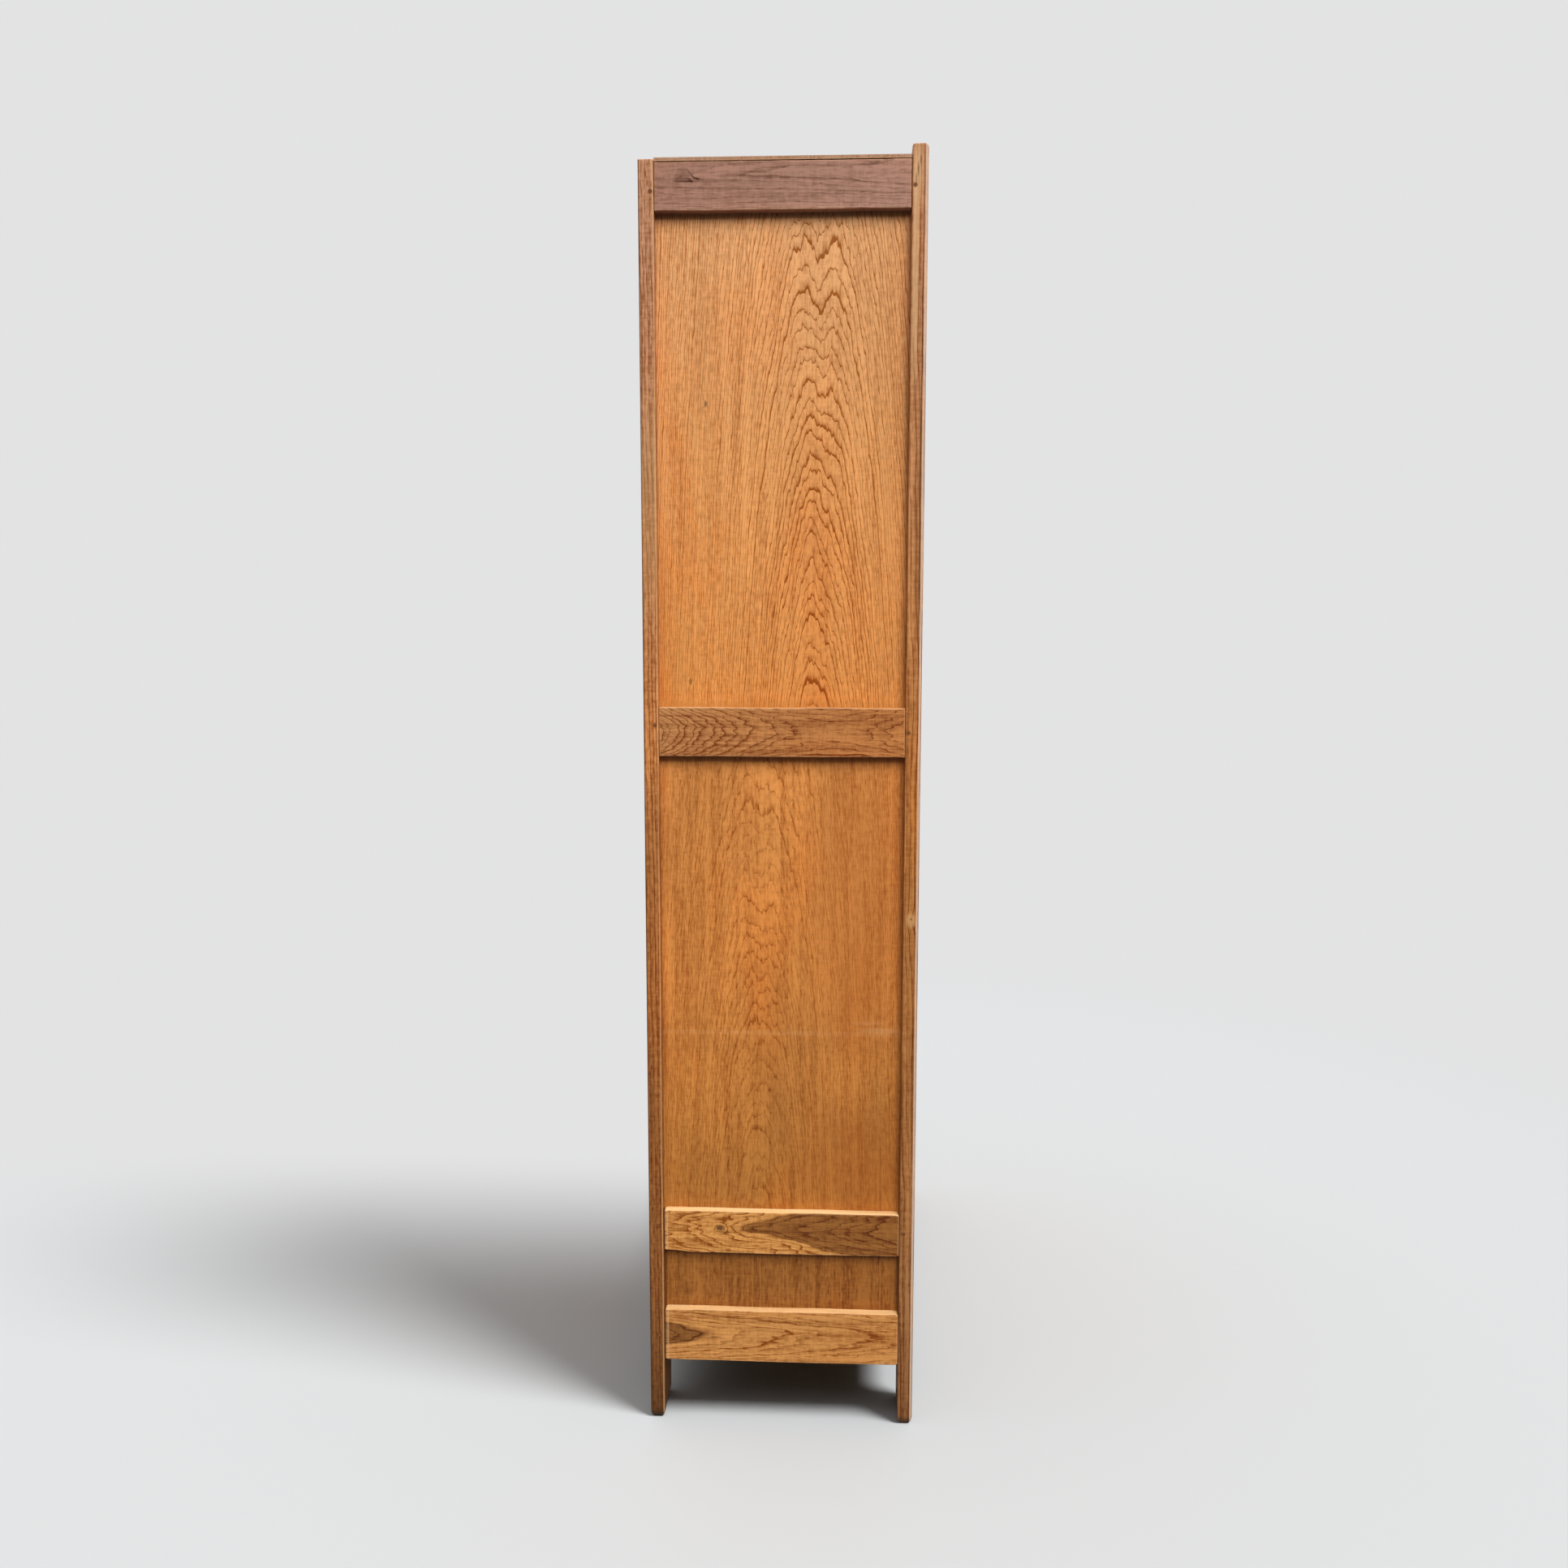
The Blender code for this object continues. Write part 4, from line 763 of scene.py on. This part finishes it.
def wornMesh(name):
    shell = mergedShell(name)
    if name.startswith("side_"):
        rubEdges(shell, name, railWear)
    if "stile" in name:
        rubFeet(shell, name, footWear)
    mesh = bpy.data.meshes.new(name + "_worn")
    shell.to_mesh(mesh)
    shell.free()
    low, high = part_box(name)
    side = -1 if name.endswith("left") else 1
    outer = high.x if side > 0 else low.x
    cutter = bmesh.new()
    if "stile" in name:
        turns = [2 * math.pi * i / pegHole["sides"] for i in range(pegHole["sides"])]
        radius = pegHole["width"] / 2
        for y, z in endPegs:
            if low.y < y < high.y:
                rims = [[(x, y + math.cos(turn) * radius, z + math.sin(turn) * radius) for turn in turns]
                        for x in (outer + side * pegHole["clear"], outer - side * pegHole["deep"])]
                prism(cutter, *rims)
    if name == "side_top_rail_left":
        for outline, deep in scar:
            floor, top = min(z for y, z in outline), max(z for y, z in outline)
            prism(cutter, [(low.x - scarCut["clear"], y, z) for y, z in outline],
                  [(low.x + deep * (top - z + scarCut["rim"]) / (top - floor), y, z) for y, z in outline])
            mesh, cutter = carve(mesh, cutter), bmesh.new()
    return carve(mesh, cutter) if cutter.verts else mesh


def smoothCopy(name, degrees):
    mesh = wornMesh(name)
    shell = bmesh.new()
    shell.from_mesh(mesh)
    for face in shell.faces:
        face.smooth = True
    for edge in shell.edges:
        edge.smooth = edge.calc_face_angle(0.0) < math.radians(degrees)
    shell.to_mesh(mesh)
    shell.free()
    mesh.materials.clear()
    mesh.materials.append(nodes[name].material_slots[0].material)
    piece = bpy.data.objects.new(name + "_worn", mesh)
    scene.collection.objects.link(piece)
    even = piece.modifiers.new("evenNormals", "WEIGHTED_NORMAL")
    even.keep_sharp = True
    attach(piece, nodes[name]["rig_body"])
    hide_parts(name)
    return piece


for name, degrees in roundedPieces.items():
    smoothCopy(name, degrees)
print("rounded pieces:", len(roundedPieces))


# Fixings grown on points: each point has its place and the way it faces
def fixingTree(name, sizes):  # the head's own shape goes in later, instances and material are shared
    tree = bpy.data.node_groups.new(name, "GeometryNodeTree")
    tree.interface.new_socket(name="Points", in_out="INPUT", socket_type="NodeSocketGeometry")
    for size in sizes:
        tree.interface.new_socket(name=size, in_out="INPUT", socket_type="NodeSocketFloat")
    tree.interface.new_socket(name="Seed", in_out="INPUT", socket_type="NodeSocketInt")
    tree.interface.new_socket(name="Material", in_out="INPUT", socket_type="NodeSocketMaterial")
    tree.interface.new_socket(name="Geometry", in_out="OUTPUT", socket_type="NodeSocketGeometry")
    return tree, addNode(tree, "NodeGroupInput").outputs


def scatterFixing(tree, given, head):
    facing = addNode(tree, "GeometryNodeInputNamedAttribute", {"Name": "facing"}, data_type="FLOAT_VECTOR")
    lean = addNode(tree, "FunctionNodeAlignRotationToVector", {"Vector": facing}, axis="Z")
    heads = addNode(tree, "GeometryNodeInstanceOnPoints", {"Points": given["Points"], "Instance": head,
                    "Rotation": lean})
    spin = addNode(tree, "FunctionNodeRandomValue", {0: (0, 0, 0), 1: (0, 0, 2 * math.pi), "Seed": given["Seed"]},
                   data_type="FLOAT_VECTOR")
    heads = addNode(tree, "GeometryNodeRotateInstances", {"Instances": heads, "Rotation": spin})
    grown = addNode(tree, "GeometryNodeRealizeInstances", {"Geometry": heads})
    grown = addNode(tree, "GeometryNodeSetMaterial", {"Geometry": grown, "Material": given["Material"]})
    addNode(tree, "NodeGroupOutput", {"Geometry": grown})


def growFixing(name, tree, spots, values, body):  # spots: place and facing of each; values by input name
    mesh = bpy.data.meshes.new(name + "Points")
    mesh.from_pydata([place for place, facing in spots], [], [])
    facings = mesh.attributes.new("facing", "FLOAT_VECTOR", "POINT")
    for item, (place, facing) in zip(facings.data, spots):
        item.vector = facing
    seedling = bpy.data.objects.new(name + "Points", mesh)
    scene.collection.objects.link(seedling)
    grower = seedling.modifiers.new(name, "NODES")
    grower.node_group = tree
    for item in tree.interface.items_tree:
        if item.in_out == "INPUT" and item.name in values:
            grower[item.identifier] = values[item.name]
    depsgraph = bpy.context.evaluated_depsgraph_get()
    piece = bpy.data.objects.new(name, bpy.data.meshes.new_from_object(seedling.evaluated_get(depsgraph)))
    bpy.data.objects.remove(seedling)
    scene.collection.objects.link(piece)
    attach(piece, body)


# Pegs: whittled oak, driven through the tenons and cut off nearly flush
pegShape = {"Width": 0.0056, "Length": 0.006, "Seed": 4, "sides": 9,
            "proud": 0.0002, "sunk": 0.0002, "seat": 0.010}  # metres; seat: in from the edge of a post or stile
pegTree, given = fixingTree("drawBorePegs", ("Width", "Length"))
radius = addNode(pegTree, "ShaderNodeMath", {0: given["Width"], 1: 0.5}, operation="MULTIPLY")
peg = addNode(pegTree, "GeometryNodeMeshCylinder", {"Vertices": pegShape["sides"], "Radius": radius,
              "Depth": given["Length"]})
scatterFixing(pegTree, given, peg)

inset = pegShape["Length"] / 2 - pegShape["proud"]
pegSpots = {"carcass": [], "left_door": [], "right_door": []}
for side in (-1, 1):
    edge = abs(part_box("front_stile_left")[0].x) - pegShape["Length"] / 2 - pegShape["sunk"]
    pegSpots["carcass"] += [((side * edge, y, z), (side, 0, 0)) for y, z in endPegs]
    for rail in ("crest_rail", "door_sill", "apron"):
        low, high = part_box(rail)
        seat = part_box("front_stile_right")[0].x + pegShape["seat"]
        pegSpots["carcass"].append(((side * seat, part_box("front_stile_left")[0].y + inset, (low.z + high.z) / 2),
                                    (0, -1, 0)))
for door in ("left", "right"):
    for rail in ("bottom", "middle", "top"):
        low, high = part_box(f"door_{door}_{rail}_rail")
        for stile, way in (("hinge", 1 if door == "left" else -1), ("meeting", -1 if door == "left" else 1)):
            low2, high2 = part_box(f"door_{door}_{stile}_stile")
            x = (high2.x if way > 0 else low2.x) - way * pegShape["seat"]
            pegSpots[f"{door}_door"].append(((x, low2.y + inset, (low.z + high.z) / 2), (0, -1, 0)))

pegWood = makeWood("apron", "oakEndGrain", {**oakBoard, "pale": ("#8a5730",) * 3, "wear": 0.0})
for body, spots in pegSpots.items():
    growFixing(f"{body}_pegs", pegTree, spots, {**pegShape, "Material": pegWood}, body)
print("pegs:", sum(len(spots) for spots in pegSpots.values()))


# Screws: slotted steel heads, let in by half their thickness
screwShape = {"Width": 0.0062, "Height": 0.0018, "Slot": 0.0009, "Seed": 9, "sides": 20,  # metres
              "slotLong": 0.02, "slotRise": 0.7}  # the slot's cutter, and how far up it sits in heights
screwPlaces = {"flange": 0.016, "flangeThick": 0.003, "apart": 0.011,  # on the hanging rail's flanges, metres
               "cleat": (0.12, 0.5, 0.88)}  # shares of a cleat's length
screwTree, given = fixingTree("slottedScrews", ("Width", "Height", "Slot"))
radius = addNode(screwTree, "ShaderNodeMath", {0: given["Width"], 1: 0.5}, operation="MULTIPLY")
disc = addNode(screwTree, "GeometryNodeMeshCylinder", {"Vertices": screwShape["sides"], "Radius": radius,
               "Depth": given["Height"]})
bar = addNode(screwTree, "ShaderNodeCombineXYZ", {0: given["Slot"], 1: screwShape["slotLong"], 2: given["Height"]})
bar = addNode(screwTree, "GeometryNodeMeshCube", {"Size": bar})
rise = addNode(screwTree, "ShaderNodeMath", {0: given["Height"], 1: screwShape["slotRise"]}, operation="MULTIPLY")
rise = addNode(screwTree, "ShaderNodeCombineXYZ", {2: rise})
bar = addNode(screwTree, "GeometryNodeTransform", {"Geometry": bar, "Translation": rise})
slotted = addNode(screwTree, "GeometryNodeMeshBoolean", {"Mesh 1": disc, "Mesh 2": bar}, operation="DIFFERENCE")
scatterFixing(screwTree, given, slotted)

low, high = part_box("hanging_rail")
screwSpots = {"carcass": [], "turn_button": []}
for leg in (low.y + screwPlaces["flange"], high.y - screwPlaces["flange"]):
    screwSpots["carcass"] += [((way * screwPlaces["apart"], leg, high.z - screwPlaces["flangeThick"]), (0, 0, -1))
                              for way in (-1, 1)]
for side, way in (("left", 1), ("right", -1)):
    low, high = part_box(f"shelf_cleat_{side}")
    face = high.x if way > 0 else low.x
    screwSpots["carcass"] += [((face, low.y + (high.y - low.y) * part, (low.z + high.z) / 2), (way, 0, 0))
                              for part in screwPlaces["cleat"]]
low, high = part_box("door_button")
screwSpots["turn_button"].append((((low.x + high.x) / 2, high.y, high.z - (high.x - low.x) / 2), (0, 1, 0)))
for body, spots in screwSpots.items():
    growFixing(f"{body}_screws", screwTree, spots, {**screwShape, "Material": steel}, body)
print("screws:", sum(len(spots) for spots in screwSpots.values()))
